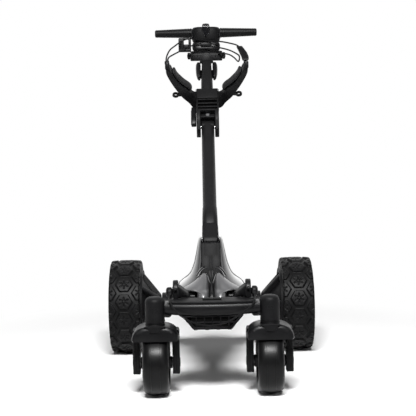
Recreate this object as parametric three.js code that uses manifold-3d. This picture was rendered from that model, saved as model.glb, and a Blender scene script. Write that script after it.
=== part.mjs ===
// Electric golf trolley: two driven rear wheels, two swivelling front casters,
// a glossy bell-shaped hull, a leaning two-section stem that folds at its base
// and at its middle, an upper bag cradle with a bungee strap, a lower bag rest
// with its own cord, and a T handle with a speed dial.
// Millimetres, +Z up, the front of the trolley faces -Y, +X is to its right
// seen from the front.  The rear axle is laid out on Y = 0 and the finished
// group is then moved so that the middle of its footprint is the origin.
import * as THREE from 'three';
import { mergeVertices } from 'three/addons/utils/BufferGeometryUtils.js';
import Module from 'manifold-3d';

const wasm = await Module();
wasm.setup();

// ---- driving dimensions -------------------------------------------------
const GAP = 0.4;                 // clearance between touching pieces
const WHEEL_R = 152.5;           // rear wheel radius
const TREAD_IN = 231.5, TREAD_OUT = 330.6; // rear tyre, inner and outer face
const WHEELBASE = 590;           // rear axle to front axle
const TRACK_F = 156;             // half the front track
const CASTER_R = 90;             // caster wheel radius
const TRAIL = 35;                // caster trail
const SWIVEL_Y = -WHEELBASE - TRAIL;
const STEM_LEAN = 50;            // stem angle above the ground plane, degrees
const STEM_Y = -199, STEM_Z = 405; // a point on the stem's axis
const MID_T = 443;               // mid hinge pin, distance along the stem
const BASE_T = -20;              // base hinge pin, distance along the stem

// ---- solids -------------------------------------------------------------
function solid(g) {
  g.deleteAttribute('normal');
  if (g.attributes.uv) g.deleteAttribute('uv');
  const m = mergeVertices(g, 1e-4);
  const p = m.attributes.position.array, ix = m.index.array;
  const keep = [];
  for (let i = 0; i < ix.length; i += 3)
    if (ix[i] !== ix[i + 1] && ix[i + 1] !== ix[i + 2] && ix[i] !== ix[i + 2]) keep.push(ix[i], ix[i + 1], ix[i + 2]);
  let vol = 0;
  for (let i = 0; i < keep.length; i += 3) {
    const a = keep[i] * 3, b = keep[i + 1] * 3, c = keep[i + 2] * 3;
    vol += p[a] * (p[b + 1] * p[c + 2] - p[b + 2] * p[c + 1]) - p[a + 1] * (p[b] * p[c + 2] - p[b + 2] * p[c]) + p[a + 2] * (p[b] * p[c + 1] - p[b + 1] * p[c]);
  }
  if (vol < 0) for (let i = 0; i < keep.length; i += 3) [keep[i], keep[i + 1]] = [keep[i + 1], keep[i]];
  return new wasm.Manifold(new wasm.Mesh({ numProp: 3, vertProperties: new Float32Array(p), triVerts: new Uint32Array(keep) }));
}
function geometry(s) {
  const m = s.getMesh();
  const g = new THREE.BufferGeometry();
  g.setAttribute('position', new THREE.BufferAttribute(new Float32Array(m.vertProperties), 3));
  g.setIndex(new THREE.BufferAttribute(new Uint32Array(m.triVerts), 1));
  const flat = g.toNonIndexed();
  flat.computeVertexNormals();
  return flat;
}
const cut = (a, ...bs) => bs.reduce((s, b) => s.subtract(b), a);
const join = (a, ...bs) => bs.reduce((s, b) => s.add(b), a);

// box between two corners
function box(x0, x1, y0, y1, z0, z1) {
  const g = new THREE.BoxGeometry(x1 - x0, y1 - y0, z1 - z0);
  g.translate((x0 + x1) / 2, (y0 + y1) / 2, (z0 + z1) / 2);
  return solid(g);
}
// body through a list of rings that all have the same number of points
function loft(rings) {
  const n = rings[0].length, pos = [], idx = [];
  for (const r of rings) for (const q of r) pos.push(...q);
  for (let k = 0; k + 1 < rings.length; k++)
    for (let i = 0; i < n; i++) {
      const a = k * n + i, b = k * n + (i + 1) % n, c = a + n, d = b + n;
      idx.push(a, b, d, a, d, c);
    }
  for (const [k, flip] of [[0, true], [rings.length - 1, false]]) {
    const m = [0, 0, 0];
    for (const q of rings[k]) for (let j = 0; j < 3; j++) m[j] += q[j] / n;
    const o = pos.length / 3;
    pos.push(...m);
    for (let i = 0; i < n; i++) {
      const a = k * n + i, b = k * n + (i + 1) % n;
      if (flip) idx.push(b, a, o); else idx.push(a, b, o);
    }
  }
  const g = new THREE.BufferGeometry();
  g.setAttribute('position', new THREE.Float32BufferAttribute(pos, 3));
  g.setIndex(idx);
  return solid(g);
}
// superellipse ring in a level plane
function ring(cx, cy, z, rx, ry, power = 2, n = 20) {
  const out = [];
  for (let i = 0; i < n; i++) {
    const a = (i / n) * 2 * Math.PI, c = Math.cos(a), s = Math.sin(a);
    out.push([cx + rx * Math.sign(c) * Math.abs(c) ** (2 / power), cy + ry * Math.sign(s) * Math.abs(s) ** (2 / power), z]);
  }
  return out;
}
// turned body; profile is [radius, distance along the axis], closed by itself
function turned(profile, seg, axis, c = [0, 0, 0]) {
  const closed = profile[0][0] > 0;
  const pts = profile.map(([r, h]) => new THREE.Vector2(r, h));
  if (closed) pts.push(pts[0].clone());
  const g = new THREE.LatheGeometry(pts, seg);
  if (axis === 'x') g.rotateZ(-Math.PI / 2);
  if (axis === 'z') g.rotateX(Math.PI / 2);
  g.translate(...c);
  return solid(g);
}
const rod = (r, x0, x1, y, z, seg = 20) => turned([[0, x0], [r, x0], [r, x1], [0, x1]], seg, 'x', [0, y, z]);
const post = (r, z0, z1, x, y, seg = 20) => turned([[0, z0], [r, z0], [r, z1], [0, z1]], seg, 'z', [x, y, 0]);
// outline [y, z] drawn out along X
function slabX(pts, x0, x1) {
  const s = new THREE.Shape(pts.map(([y, z]) => new THREE.Vector2(y, z)));
  const g = new THREE.ExtrudeGeometry(s, { depth: x1 - x0, bevelEnabled: false });
  g.applyMatrix4(new THREE.Matrix4().set(0, 0, 1, x0, 1, 0, 0, 0, 0, 1, 0, 0, 0, 0, 0, 1));
  return solid(g);
}
// outline [x, z] drawn out along Y
function slabY(pts, y0, y1) {
  const s = new THREE.Shape(pts.map(([x, z]) => new THREE.Vector2(x, z)));
  const g = new THREE.ExtrudeGeometry(s, { depth: y1 - y0, bevelEnabled: false });
  g.applyMatrix4(new THREE.Matrix4().set(1, 0, 0, 0, 0, 0, 1, y0, 0, 1, 0, 0, 0, 0, 0, 1));
  return solid(g);
}
// outline [x, y] drawn out along Z
function slabZ(pts, z0, z1) {
  const s = new THREE.Shape(pts.map(([x, y]) => new THREE.Vector2(x, y)));
  const g = new THREE.ExtrudeGeometry(s, { depth: z1 - z0, bevelEnabled: false });
  g.translate(0, 0, z0);
  return solid(g);
}
// round cord along points
function cord(points, r, steps, sides = 8) {
  const curve = new THREE.CatmullRomCurve3(points.map((q) => new THREE.Vector3(...q)), false, 'centripetal');
  const s = new THREE.Shape();
  for (let i = 0; i < sides; i++) {
    const a = (i / sides) * 2 * Math.PI;
    if (i) s.lineTo(r * Math.cos(a), r * Math.sin(a)); else s.moveTo(r, 0);
  }
  s.closePath();
  return solid(new THREE.ExtrudeGeometry(s, { steps, extrudePath: curve, bevelEnabled: false, curveSegments: 1 }));
}
const mirrorPts = (pts) => pts.map(([x, ...r]) => [-x, ...r]);

// ---- scene graph --------------------------------------------------------
const trolley = new THREE.Group();
const stem = new THREE.Group();
stem.position.set(0, STEM_Y, STEM_Z);
stem.rotation.x = THREE.MathUtils.degToRad(STEM_LEAN - 90);
trolley.add(stem);
function node(group, name, s, color, roughness, metalness) {
  const mesh = new THREE.Mesh(geometry(s), new THREE.MeshStandardMaterial({ color, roughness, metalness }));
  mesh.name = name;
  group.add(mesh);
  return mesh;
}
const MATTE = [0x1b1b1c, 0.6, 0], GLOSS = [0x0d0d0f, 0.15, 0], RUBBER = [0x161616, 0.85, 0],
  STEEL = [0xb0b2b5, 0.3, 1], GREY = [0x6d6f73, 0.2, 0], SOFT = [0x2c2c2e, 0.9, 0], ALU = [0x232425, 0.4, 0.6];

// ---- rear axle, motors and wheels ---------------------------------------
let housing = turned([[24.5, -164], [42, -164], [42, -138], [32, -130], [32, 130], [42, 138], [42, 164], [24.5, 164]], 24, 'x', [0, 0, WHEEL_R]);
node(trolley, 'axle_housing', housing, ...MATTE);
for (const [side, k] of [['L', -1], ['R', 1]]) {
  const X = (r, h) => [r, k * h];
  node(trolley, `motor_${side}`, turned([X(0, 30), X(24, 30), X(24, 140), X(0, 140)], 16, 'x', [0, 0, WHEEL_R]), ...STEEL);
  node(trolley, `drive_shaft_${side}`, turned([X(0, 140.5), X(9, 140.5), X(9, 308), X(0, 308)], 12, 'x', [0, 0, WHEEL_R]), ...STEEL);
  // rim: barrel, face and six ribs that run inboard to a long hub
  const barrel = turned([X(104, 226), X(118, 226), X(118, 322), X(104, 322)], 28, 'x', [0, 0, WHEEL_R]);
  const face = turned([X(30, 300), X(104.5, 300), X(104.5, 308), X(30, 308)], 28, 'x', [0, 0, WHEEL_R]);
  const hub = turned([X(9.4, 167), X(36, 167), X(44, 176), X(44, 190), X(36, 200), X(34, 308), X(9.4, 308)], 20, 'x', [0, 0, WHEEL_R]);
  const ribs = [];
  for (let i = 0; i < 6; i++) {
    const t = ((i * 60 + (k < 0 ? 78 : 52)) * Math.PI) / 180;
    const at = (r, w, x) => [k * x, Math.cos(t) * r - Math.sin(t) * w, WHEEL_R + Math.sin(t) * r + Math.cos(t) * w];
    const sect = (r, w, x0, x1) => [at(r, -w, x0), at(r, w, x0), at(r, w, x1), at(r, -w, x1)];
    ribs.push(loft([sect(34, 11, 169, 200), sect(112, 8, 227, 250)]));
  }
  node(trolley, `rear_rim_${side}`, join(barrel, face, hub, ...ribs), ...MATTE);
  node(trolley, `rear_tyre_${side}`, turned([X(118.4, TREAD_IN), X(143, TREAD_IN), X(149.5, TREAD_IN + 7), X(152.5, TREAD_IN + 30), X(152.5, TREAD_OUT - 30), X(149.5, TREAD_OUT - 7), X(143, TREAD_OUT), X(118.4, TREAD_OUT)], 44, 'x', [0, 0, WHEEL_R]), ...RUBBER);
  // quick-release hub cap, pressed in to free the wheel
  node(trolley, `hub_cap_${side}`, turned([X(0, 312.4), X(27, 312.4), X(27, 322), X(22, 327), X(0, 328)], 20, 'x', [0, 0, WHEEL_R]), ...ALU);
}

// ---- chassis, hull, nose ------------------------------------------------
const beam = join(
  slabX([[-559.4, 190], [-559.4, 222], [-420, 226], [-60, 222], [-20, 200], [-32.9, 165], [-60, 158], [-300, 176]], -50, 50),
  slabX([[-120, 176], [-60, 222], [-40, 214], [-44, 190], [-44, 165], [-60, 158]], -128, 128));
node(trolley, 'chassis_beam', beam, ...MATTE);
const hullRings = [
  ring(0, -188, 231, 107, 152, 3, 28), ring(0, -188, 249, 104, 149, 3, 28), ring(0, -193, 264, 87, 136, 2.8, 28), ring(0, -204, 281, 70, 117, 2.6, 28),
  ring(0, -217, 306, 57.5, 91, 2.6, 28), ring(0, -223, 334, 49, 73, 2.8, 28), ring(0, -226, 364, 43, 57, 3, 28),
  ring(0, -226, 390, 38, 46, 3, 28), ring(0, -224, 402, 34, 40, 3, 28)];
const stemMatrix = new THREE.Matrix4().compose(stem.position, new THREE.Quaternion().setFromEuler(stem.rotation), new THREE.Vector3(1, 1, 1));
const inStem = (g) => { const e = stemMatrix.elements; return g.transform([e[0], e[1], e[2], 0, e[4], e[5], e[6], 0, e[8], e[9], e[10], 0, e[12], e[13], e[14], 0]); };
// well that the stem foot swings in, open at the top, front and rear
const PIN = [0, STEM_Y + BASE_T * Math.cos(STEM_LEAN * Math.PI / 180), STEM_Z + BASE_T * Math.sin(STEM_LEAN * Math.PI / 180)];
const well = join(box(-26.4, 26.4, -320, -100, PIN[2] - 2, 430), rod(43, -26.4, 26.4, PIN[1], PIN[2], 28));
let hull = cut(loft(hullRings), well, box(-46.6, 46.6, -150.6, -50, 252, 372), box(-30, 30, -365, -257, 225, 392), rod(6.4, -50, 50, PIN[1], PIN[2], 16),
  rod(42.6, -128, 128, 0, WHEEL_R, 24));
node(trolley, 'hull_shell', hull, ...GLOSS);
node(trolley, 'stem_base_pin', rod(6, -30, 30, PIN[1], PIN[2], 14), ...STEEL);
node(trolley, 'front_panel', slabX([[-258, 232], [-258, 384], [-270, 384], [-276, 366], [-284, 342], [-293, 322], [-305, 306], [-318, 292], [-330, 272], [-336, 250], [-338, 232]], -29, 29), ...MATTE);
node(trolley, 'battery', join(box(-46, 46, -150, -51, 252.6, 296), box(-30, 30, -110, -90, 296, 303)), ...MATTE);
{
  const lobe = (k) => loft([
    ring(k * 32, -397, 231, 26, 52, 2.8, 16), ring(k * 31, -393, 250, 24, 48, 2.6, 16), ring(k * 27.5, -384, 270, 20, 37, 2.4, 16),
    ring(k * 23.8, -376, 287, 15.6, 26, 2.2, 16), ring(k * 21.5, -371, 300, 9.8, 15, 2, 16), ring(k * 20.8, -369, 306, 3, 5, 2, 16)]);
  const base = slabX([[-452, 226.6], [-452, 232], [-342, 234], [-342, 226.6]], -60, 60);
  node(trolley, 'nose_fairing', join(base, lobe(-1), lobe(1)), ...GREY);
}

// ---- front cross-beam, tray and casters ---------------------------------
const bumperOut = [[-129, -560], [-129, -640], [-100, -645.5], [-60, -649], [0, -651], [60, -649], [100, -645.5], [129, -640], [129, -560]];
let bumper = join(slabZ(bumperOut, 226, 256), slabZ([[-112, -560], [-118, -600], [-108, -630], [0, -637], [108, -630], [118, -600], [112, -560]], 255, 263.5));
for (const k of [-1, 1]) bumper = cut(bumper, post(27, 200, 300, k * TRACK_F, SWIVEL_Y, 28));
bumper = cut(join(bumper, box(-60, 60, -630, -566, 262, 264)), box(-22, 22, -614, -586, 257, 270));
node(trolley, 'bumper', bumper, ...MATTE);
node(trolley, 'tray', cut(join(slabY([[-84, 225.6], [-64, 202.6], [-50, 188], [50, 188], [64, 202.6], [84, 225.6]], -642, -560)), box(-46, 46, -634, -568, 180, 214)), ...MATTE);
for (const [side, k] of [['L', -1], ['R', 1]]) {
  const x = k * TRACK_F, y = -WHEELBASE;
  node(trolley, `caster_post_${side}`, turned([[8.6, 206], [26.5, 206], [26.5, 266], [24, 273], [16, 277.5], [0, 278.5], [0, 268], [8.6, 268]], 28, 'z', [x, SWIVEL_Y, 0]), ...MATTE);
  const arch = [[64, 61], [64, 170], [59, 184], [47, 195.6], [27, 201], [-27, 201], [-47, 195.6], [-59, 184], [-64, 170], [-64, 61], [-44.6, 61], [-44.6, 170], [44.6, 170], [44.6, 61]].map(([a, b]) => [a + x, b]);
  let fork = join(slabY(arch, y - 22, y + 22),
    slabY([[62, 162], [62, 170], [58, 184], [46, 195.6], [27, 201], [-27, 201], [-46, 195.6], [-58, 184], [-62, 170], [-62, 162]].map(([a, b]) => [a + x, b]), SWIVEL_Y - 32, y + 14),
    post(26.7, 200, 205.5, x, SWIVEL_Y, 28), post(8, 204, 262, x, SWIVEL_Y, 16));
  fork = cut(fork, rod(CASTER_R + 5, x - 44.6, x + 44.6, y, CASTER_R, 32), rod(8.4, x - 80, x + 80, y, CASTER_R, 16));
  node(trolley, `caster_fork_${side}`, fork, ...MATTE);
  node(trolley, `caster_axle_${side}`, rod(8, x - 63, x + 63, y, CASTER_R, 16), ...STEEL);
  node(trolley, `caster_rim_${side}`, turned([[8.4, x - 43], [16, x - 43], [18, x - 26], [62, x - 26], [62, x + 26], [18, x + 26], [16, x + 43], [8.4, x + 43]], 20, 'x', [0, y, CASTER_R]), ...MATTE);
  node(trolley, `caster_tyre_${side}`, turned([[62.4, x - 34], [76, x - 35.5], [84, x - 30], [88.5, x - 18], [CASTER_R, x - 12], [CASTER_R, x + 12], [88.5, x + 18], [84, x + 30], [76, x + 35.5], [62.4, x + 34]], 32, 'x', [0, y, CASTER_R]), ...GLOSS);
}

// ---- lower bag rest -----------------------------------------------------
for (const [side, k] of [['L', -1], ['R', 1]]) {
  let arm = slabX([[-582, 264], [-582, 284], [-572, 304], [-562, 312], [-546, 312], [-540, 300], [-540, 264]], Math.min(k * 92, k * 108), Math.max(k * 92, k * 108));
  const pad = loft([
    [[k * 93, -578, 266], [k * 93, -540, 266], [k * 93, -540, 300], [k * 93, -574, 296]],
    [[k * 66, -556, 266], [k * 66, -534, 266], [k * 66, -534, 280], [k * 66, -554, 278]]]);
  node(trolley, `bag_arm_${side}`, join(arm, pad), ...MATTE);
  node(trolley, `bag_knob_${side}`, turned([[0, k * 108.5], [9, k * 108.5], [14, k * 112], [14, k * 123], [9, k * 127], [0, k * 127]], 16, 'x', [0, -564, 280]), ...MATTE);
}
const lowPts = [[-117, -579, 276], [-118, -596, 271], [-116, -625, 267.5], [-113, -646, 263], [-106, -655, 252], [-94.9, -658, 238.4], [-63.2, -660, 216.7], [-32.4, -661, 205.4], [-1.9, -661, 202.9],
  [30.3, -661, 208.5], [60, -660, 222], [92, -658, 243], [106, -655, 254], [113, -646, 264], [116, -625, 267.5], [118, -596, 271], [117, -579, 276]];
node(trolley, 'lower_cord', cord(lowPts, 2.5, 38, 8), ...RUBBER);

// ---- stem: local frame, Y = -n across, Z = t along ----------------------
const bore = (r, t, w) => rod(r, -w, w, 0, t, 16);
let sleeve = join(loft([ring(0, 0, -30, 22, 22, 3), ring(0, 0, -22, 25.5, 25.5, 3), ring(0, 0, 28, 25.5, 25.5, 3)]), rod(25, -25.5, 25.5, 0, BASE_T, 24));
sleeve = cut(sleeve, loft([ring(0, 0, 6, 22.4, 22.4, 3), ring(0, 0, 40, 22.4, 22.4, 3)]), bore(6.4, BASE_T, 40));
node(stem, 'stem_sleeve', sleeve, ...MATTE);
const lower = cut(join(loft([ring(0, 0, 6.4, 22, 22, 3), ring(0, 0, MID_T, 21.5, 21, 3)]), rod(21, -21.5, 21.5, 0, MID_T, 24)), bore(6.4, MID_T, 40));
node(stem, 'lower_tube', lower, ...ALU);
node(stem, 'hinge_pin', rod(6, -38, 38, 0, MID_T, 14), ...STEEL);
// mid hinge block: two cheeks round the tube's rounded end, a web above it
let block = cut(box(-38, 38, -48, 30, 412, 531.6), box(-24, 24, -60, 40, 400, 465.6), box(-24, 24, -60, -26, 460, 483), box(-31, 31, -60, -38, 483, 531.7), bore(6.4, MID_T, 60));
block = cut(block, slabX([[-60, 400], [-60, 446], [-48.1, 446], [-24, 424], [-24, 400]], -40, 40), box(-6.6, 6.6, -26.1, -18, 467, 477.6), slabX([[20, 400], [20, 416], [31, 428], [31, 400]], -40, 40));
node(stem, 'hinge_block', block, ...MATTE);
node(stem, 'release_button', box(-6, 6, -32, -21.6, 467.6, 477), ...GREY);
node(stem, 'latch_lever', slabX([[-12, 450], [-15, 462], [-13, 520], [-6, 529], [8, 529], [12, 520], [12, 462], [6, 450]], -56, -38.6), ...MATTE);
// cradle block with a socket for the upper tube
const upperOut = (g) => [ring(0, 0, 545, 17 + g, 17 + g, 3), ring(0, 0, 700, 17 + g, 17 + g, 3)];
node(stem, 'cradle_block', cut(box(-39, 39, -50, 30, 532, 576), loft([ring(0, 0, 544.6, 17.4, 17.4, 3), ring(0, 0, 700, 17.4, 17.4, 3)])), ...MATTE);
node(stem, 'upper_tube', loft([ring(0, 0, 545, 17, 17, 3), ring(0, 0, 576.2, 17, 17, 3), ring(0, 0, 576.6, 21, 21, 3), ring(0, 0, 650, 20.4, 20.4, 3), ring(0, 0, 725, 17.4, 17.4, 3), ring(0, 0, 758, 17, 17, 3), ring(0, 0, 768, 14, 14, 3), ring(0, 0, 771, 8, 8, 3)]), ...ALU);
node(stem, 'upper_sleeve', cut(join(
  loft([ring(-27.5, 0, 668, 5.5, 12, 2.5, 12), ring(-30, 0, 690, 8.6, 15, 2.5, 12), ring(-29.6, 0, 730, 9, 15, 2.5, 12), ring(-28, 0, 742, 7, 12, 2.5, 12)]),
  loft([ring(27.5, 0, 668, 5.5, 12, 2.5, 12), ring(30, 0, 690, 8.6, 15, 2.5, 12), ring(29.6, 0, 730, 9, 15, 2.5, 12), ring(28, 0, 742, 7, 12, 2.5, 12)]),
  box(-28, 28, 8, 26, 690, 730)), loft([ring(0, 0, 600, 22.2, 22.2, 3), ring(0, 0, 650, 20.9, 20.9, 3), ring(0, 0, 725, 17.9, 17.9, 3), ring(0, 0, 790, 17.5, 17.5, 3)])), ...MATTE);
for (const [side, k] of [['L', -1], ['R', 1]]) {
  // curved arm: outer face at the foot, inner face at the top, swept from the block to the tip
  const outer = [[39.4, -14], [50, -9], [62, 12], [85, 40], [103, 73], [120, 109], [135, 150], [137, 172]];
  const inner = [[39.4, 38], [47, 40], [56, 50], [68, 69], [87, 87], [104, 112], [115, 139], [121, 158]];
  const secs = outer.map((o, i) => {
    const q = inner[i], t0 = 538 + i * 1.2, t1 = 574 + i * 2.2, back = [q[0] + (o[0] - q[0]) * 0.35, q[1] + (o[1] - q[1]) * 0.35];
    return [[k * o[0], -o[1], t0], [k * o[0], -o[1], t0 + 22], [k * back[0], -back[1], t1], [k * q[0], -q[1], t1], [k * q[0], -q[1], t0 + 10]];
  });
  const loopAt = [k * 108, -44];
  const loop = turned([[5, 550], [11, 550], [11, 556], [5, 556]], 14, 'z', [loopAt[0], loopAt[1], 0]);
  const strut = slabZ([[k * 76, -40], [k * 99, -37], [k * 99, -51], [k * 84, -56]], 550, 556);
  node(stem, `cradle_arm_${side}`, join(loft(secs), loop, strut), ...MATTE);
  const padIn = [[50, 58], [60, 78], [80, 93], [97, 117], [108, 141]];
  const padOut = [[56.6, 53], [67.4, 71], [86.2, 88.8], [102.6, 113], [113.4, 138]];
  node(stem, `cradle_pad_${side}`, loft(padIn.map((q, i) => {
    const o = padOut[i], d = Math.hypot(o[0] - q[0], o[1] - q[1]) || 1, ux = (q[0] - o[0]) / d, uy = (q[1] - o[1]) / d, th = 8;
    const a = [o[0] - (o[1] > 0 ? 0.6 : 0), o[1] + 0.6];
    return [[k * a[0], -a[1], 556], [k * (a[0] + ux * th), -(a[1] + uy * th), 558], [k * (a[0] + ux * th), -(a[1] + uy * th), 584], [k * a[0], -a[1], 588]];
  })), ...SOFT);
}

// ---- handle: laid out upright at the stem's head ------------------------
let bracket = join(box(-57, 57, 280, 314, 986, 1003), rod(17, -57, 57, 297, 1003, 24));
bracket = cut(bracket, rod(5.4, -60, 60, 297, 1003, 14));
const headCut = inStem(loft([ring(0, 0, 700, 17.4, 17.4, 3), ring(0, 0, 771.4, 17.4, 17.4, 3)]));
node(trolley, 'handle_bracket', cut(bracket, headCut), ...MATTE);
for (const [side, k] of [['L', -1], ['R', 1]]) {
  const star = [];
  for (let i = 0; i < 16; i++) { const a = (i / 16) * 2 * Math.PI, r = i % 2 ? 12 : 9.5; star.push([297 + r * Math.cos(a), 1003 + r * Math.sin(a)]); }
  node(trolley, `side_knob_${side}`, join(slabX(star, Math.min(k * 57.4, k * 67.5), Math.max(k * 57.4, k * 67.5)), rod(5, Math.min(k * 20, k * 59), Math.max(k * 20, k * 59), 297, 1003, 14)), ...MATTE);
}
node(trolley, 'neck', loft([ring(0, 312, 1020.8, 46, 20, 4, 16), ring(0, 316, 1030, 50, 24, 4, 16), ring(0, 321, 1044, 50, 27, 4, 16), ring(0, 324, 1052.6, 47, 28, 4, 16)]), ...MATTE);
node(trolley, 'console', cut(loft([ring(0, 350, 1053.2, 45, 39, 4, 20), ring(0, 354, 1066, 51, 48, 4, 20), ring(0, 354, 1098, 51, 50, 4, 20), ring(0, 356, 1108, 46, 44, 4, 20)]),
  post(13.6, 1099, 1120, 0, 326, 20), box(-40, -27.4, 362, 378, 1100, 1120)), ...MATTE);
node(trolley, 'speed_dial', turned([[0, 1099.4], [13, 1099.4], [13, 1116], [10, 1120], [0, 1121]], 20, 'z', [0, 326, 0]), ...GLOSS);
node(trolley, 'power_button', box(-39.6, -27.8, 362.4, 377.6, 1103.4, 1111), ...GREY);
for (const [side, k] of [['L', -1], ['R', 1]])
  node(trolley, `grip_${side}`, turned([[0, k * 52], [14, k * 52], [17, k * 58], [16.5, k * 90], [13.5, k * 178], [11, k * 185], [0, k * 185]], 20, 'x', [0, 352, 1090]), ...RUBBER);

// ---- upper bungee strap -------------------------------------------------
node(trolley, 'strap_front', cord([[-135, 33, 962.5], [-134, 58, 981], [-124, 100, 1007], [-106, 150, 1027], [-84, 205, 1048], [-58, 250, 1060], [-28, 274, 1058], [18, 281, 1053.5], [55, 266, 1049], [86, 222, 1038], [102, 170, 1028], [110, 115, 1017], [111, 75.2, 1008]], 2.5, 34, 8), ...RUBBER);
node(trolley, 'strap_rear', cord([[-130, 35, 963.5], [-128, 64, 978], [-114, 110, 992], [-92, 160, 1008], [-66, 212, 1027], [-40, 250, 1036.5], [-8, 270, 1037], [26, 268, 1032], [58, 240, 1023], [84, 190, 1010], [99, 140, 997], [107, 100, 987.5], [110, 80, 982], [111, 72, 973], [109, 79, 964.5], [105, 100, 966], [96, 138, 980], [80, 200, 997], [60, 250, 1006], [44, 275.6, 1008]], 2.5, 56, 8), ...RUBBER);
node(trolley, 'strap_slider', cut(box(-97, -53, 205, 221, 1010, 1058), box(-77, -62, 200, 230, 1036, 1053),
  cord([[-124, 100, 1007], [-106, 150, 1027], [-84, 205, 1048], [-58, 250, 1060], [-28, 274, 1058]], 3.2, 16, 8), cord([[-114, 110, 992], [-92, 160, 1008], [-66, 212, 1027], [-40, 250, 1036.5], [-8, 270, 1037]], 3.2, 16, 8)), ...MATTE);
node(trolley, 'strap_buckle', loft([
  [[119, 28, 962], [140, 28, 962], [140, 55, 962], [119, 55, 962]],
  [[117, 35, 975], [140, 35, 975], [140, 60, 975], [117, 60, 975]],
  [[110, 44, 990], [135, 44, 990], [135, 66, 990], [110, 66, 990]],
  [[100, 58, 1013], [121, 58, 1013], [121, 71, 1013], [100, 71, 1013]]]), ...MATTE);

// ---- centre the footprint on the origin ---------------------------------
trolley.updateMatrixWorld(true);
const extent = new THREE.Box3();
trolley.traverse((o) => {
  if (o.isMesh && !['lower_cord', 'strap_front', 'strap_rear', 'strap_slider', 'strap_buckle'].includes(o.name)) extent.expandByObject(o, true);
});
const shift = new THREE.Vector3(-(extent.min.x + extent.max.x) / 2, -(extent.min.y + extent.max.y) / 2, -extent.min.z);
const part = new THREE.Group();
trolley.position.copy(shift);
part.add(trolley);
part.updateMatrixWorld(true);
export default part;
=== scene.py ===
import bpy, bmesh, math
import numpy as np
from mathutils import Vector, Matrix


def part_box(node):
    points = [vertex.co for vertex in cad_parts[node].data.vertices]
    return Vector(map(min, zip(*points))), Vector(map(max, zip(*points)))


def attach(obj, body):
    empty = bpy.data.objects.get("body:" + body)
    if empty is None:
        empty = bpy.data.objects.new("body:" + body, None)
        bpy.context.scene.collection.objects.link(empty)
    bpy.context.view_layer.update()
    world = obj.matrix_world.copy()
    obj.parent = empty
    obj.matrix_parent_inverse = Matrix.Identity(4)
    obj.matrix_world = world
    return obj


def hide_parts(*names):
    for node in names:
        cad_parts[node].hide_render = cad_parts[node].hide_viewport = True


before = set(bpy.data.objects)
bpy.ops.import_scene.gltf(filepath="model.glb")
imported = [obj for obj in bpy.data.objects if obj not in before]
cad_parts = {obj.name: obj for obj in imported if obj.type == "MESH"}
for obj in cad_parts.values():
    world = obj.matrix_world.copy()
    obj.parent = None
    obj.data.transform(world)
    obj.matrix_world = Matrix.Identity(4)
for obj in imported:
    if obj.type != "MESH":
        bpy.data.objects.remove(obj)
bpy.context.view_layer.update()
scene = bpy.context.scene
C = bpy.data


def mid(node, i):
    lo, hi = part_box(node)
    return (lo[i] + hi[i]) / 2


OY = mid("axle_housing", 1)          # rear axle line, metres
AXZ = mid("axle_housing", 2) * 1000  # rear axle height, mm

# ------------------------------------------------------------------ camera
yaw, pitch, roll = -0.0017, 0.0659, 0.0198
right = Vector((math.cos(yaw), math.sin(yaw), 0))
fwd = Vector((-math.sin(yaw), math.cos(yaw), 0))
up0 = Vector((0, 0, 1))
look = fwd * math.cos(pitch) - up0 * math.sin(pitch)
upv = up0 * math.cos(pitch) + fwd * math.sin(pitch)
cr, sr = math.cos(roll), math.sin(roll)
cx, cy, cz = right * cr - upv * sr, right * sr + upv * cr, -look
cam_data = C.cameras.new("camera")
cam_data.sensor_width = 36
cam_data.lens = 988.69 / 416 * 36
cam_data.clip_end = 60
cam = C.objects.new("camera", cam_data)
scene.collection.objects.link(cam)
cam.matrix_world = Matrix(((cx.x, cy.x, cz.x, -0.01085), (cx.y, cy.y, cz.y, -3.28183 + OY), (cx.z, cy.z, cz.z, 0.69132), (0, 0, 0, 1)))
scene.camera = cam


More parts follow.
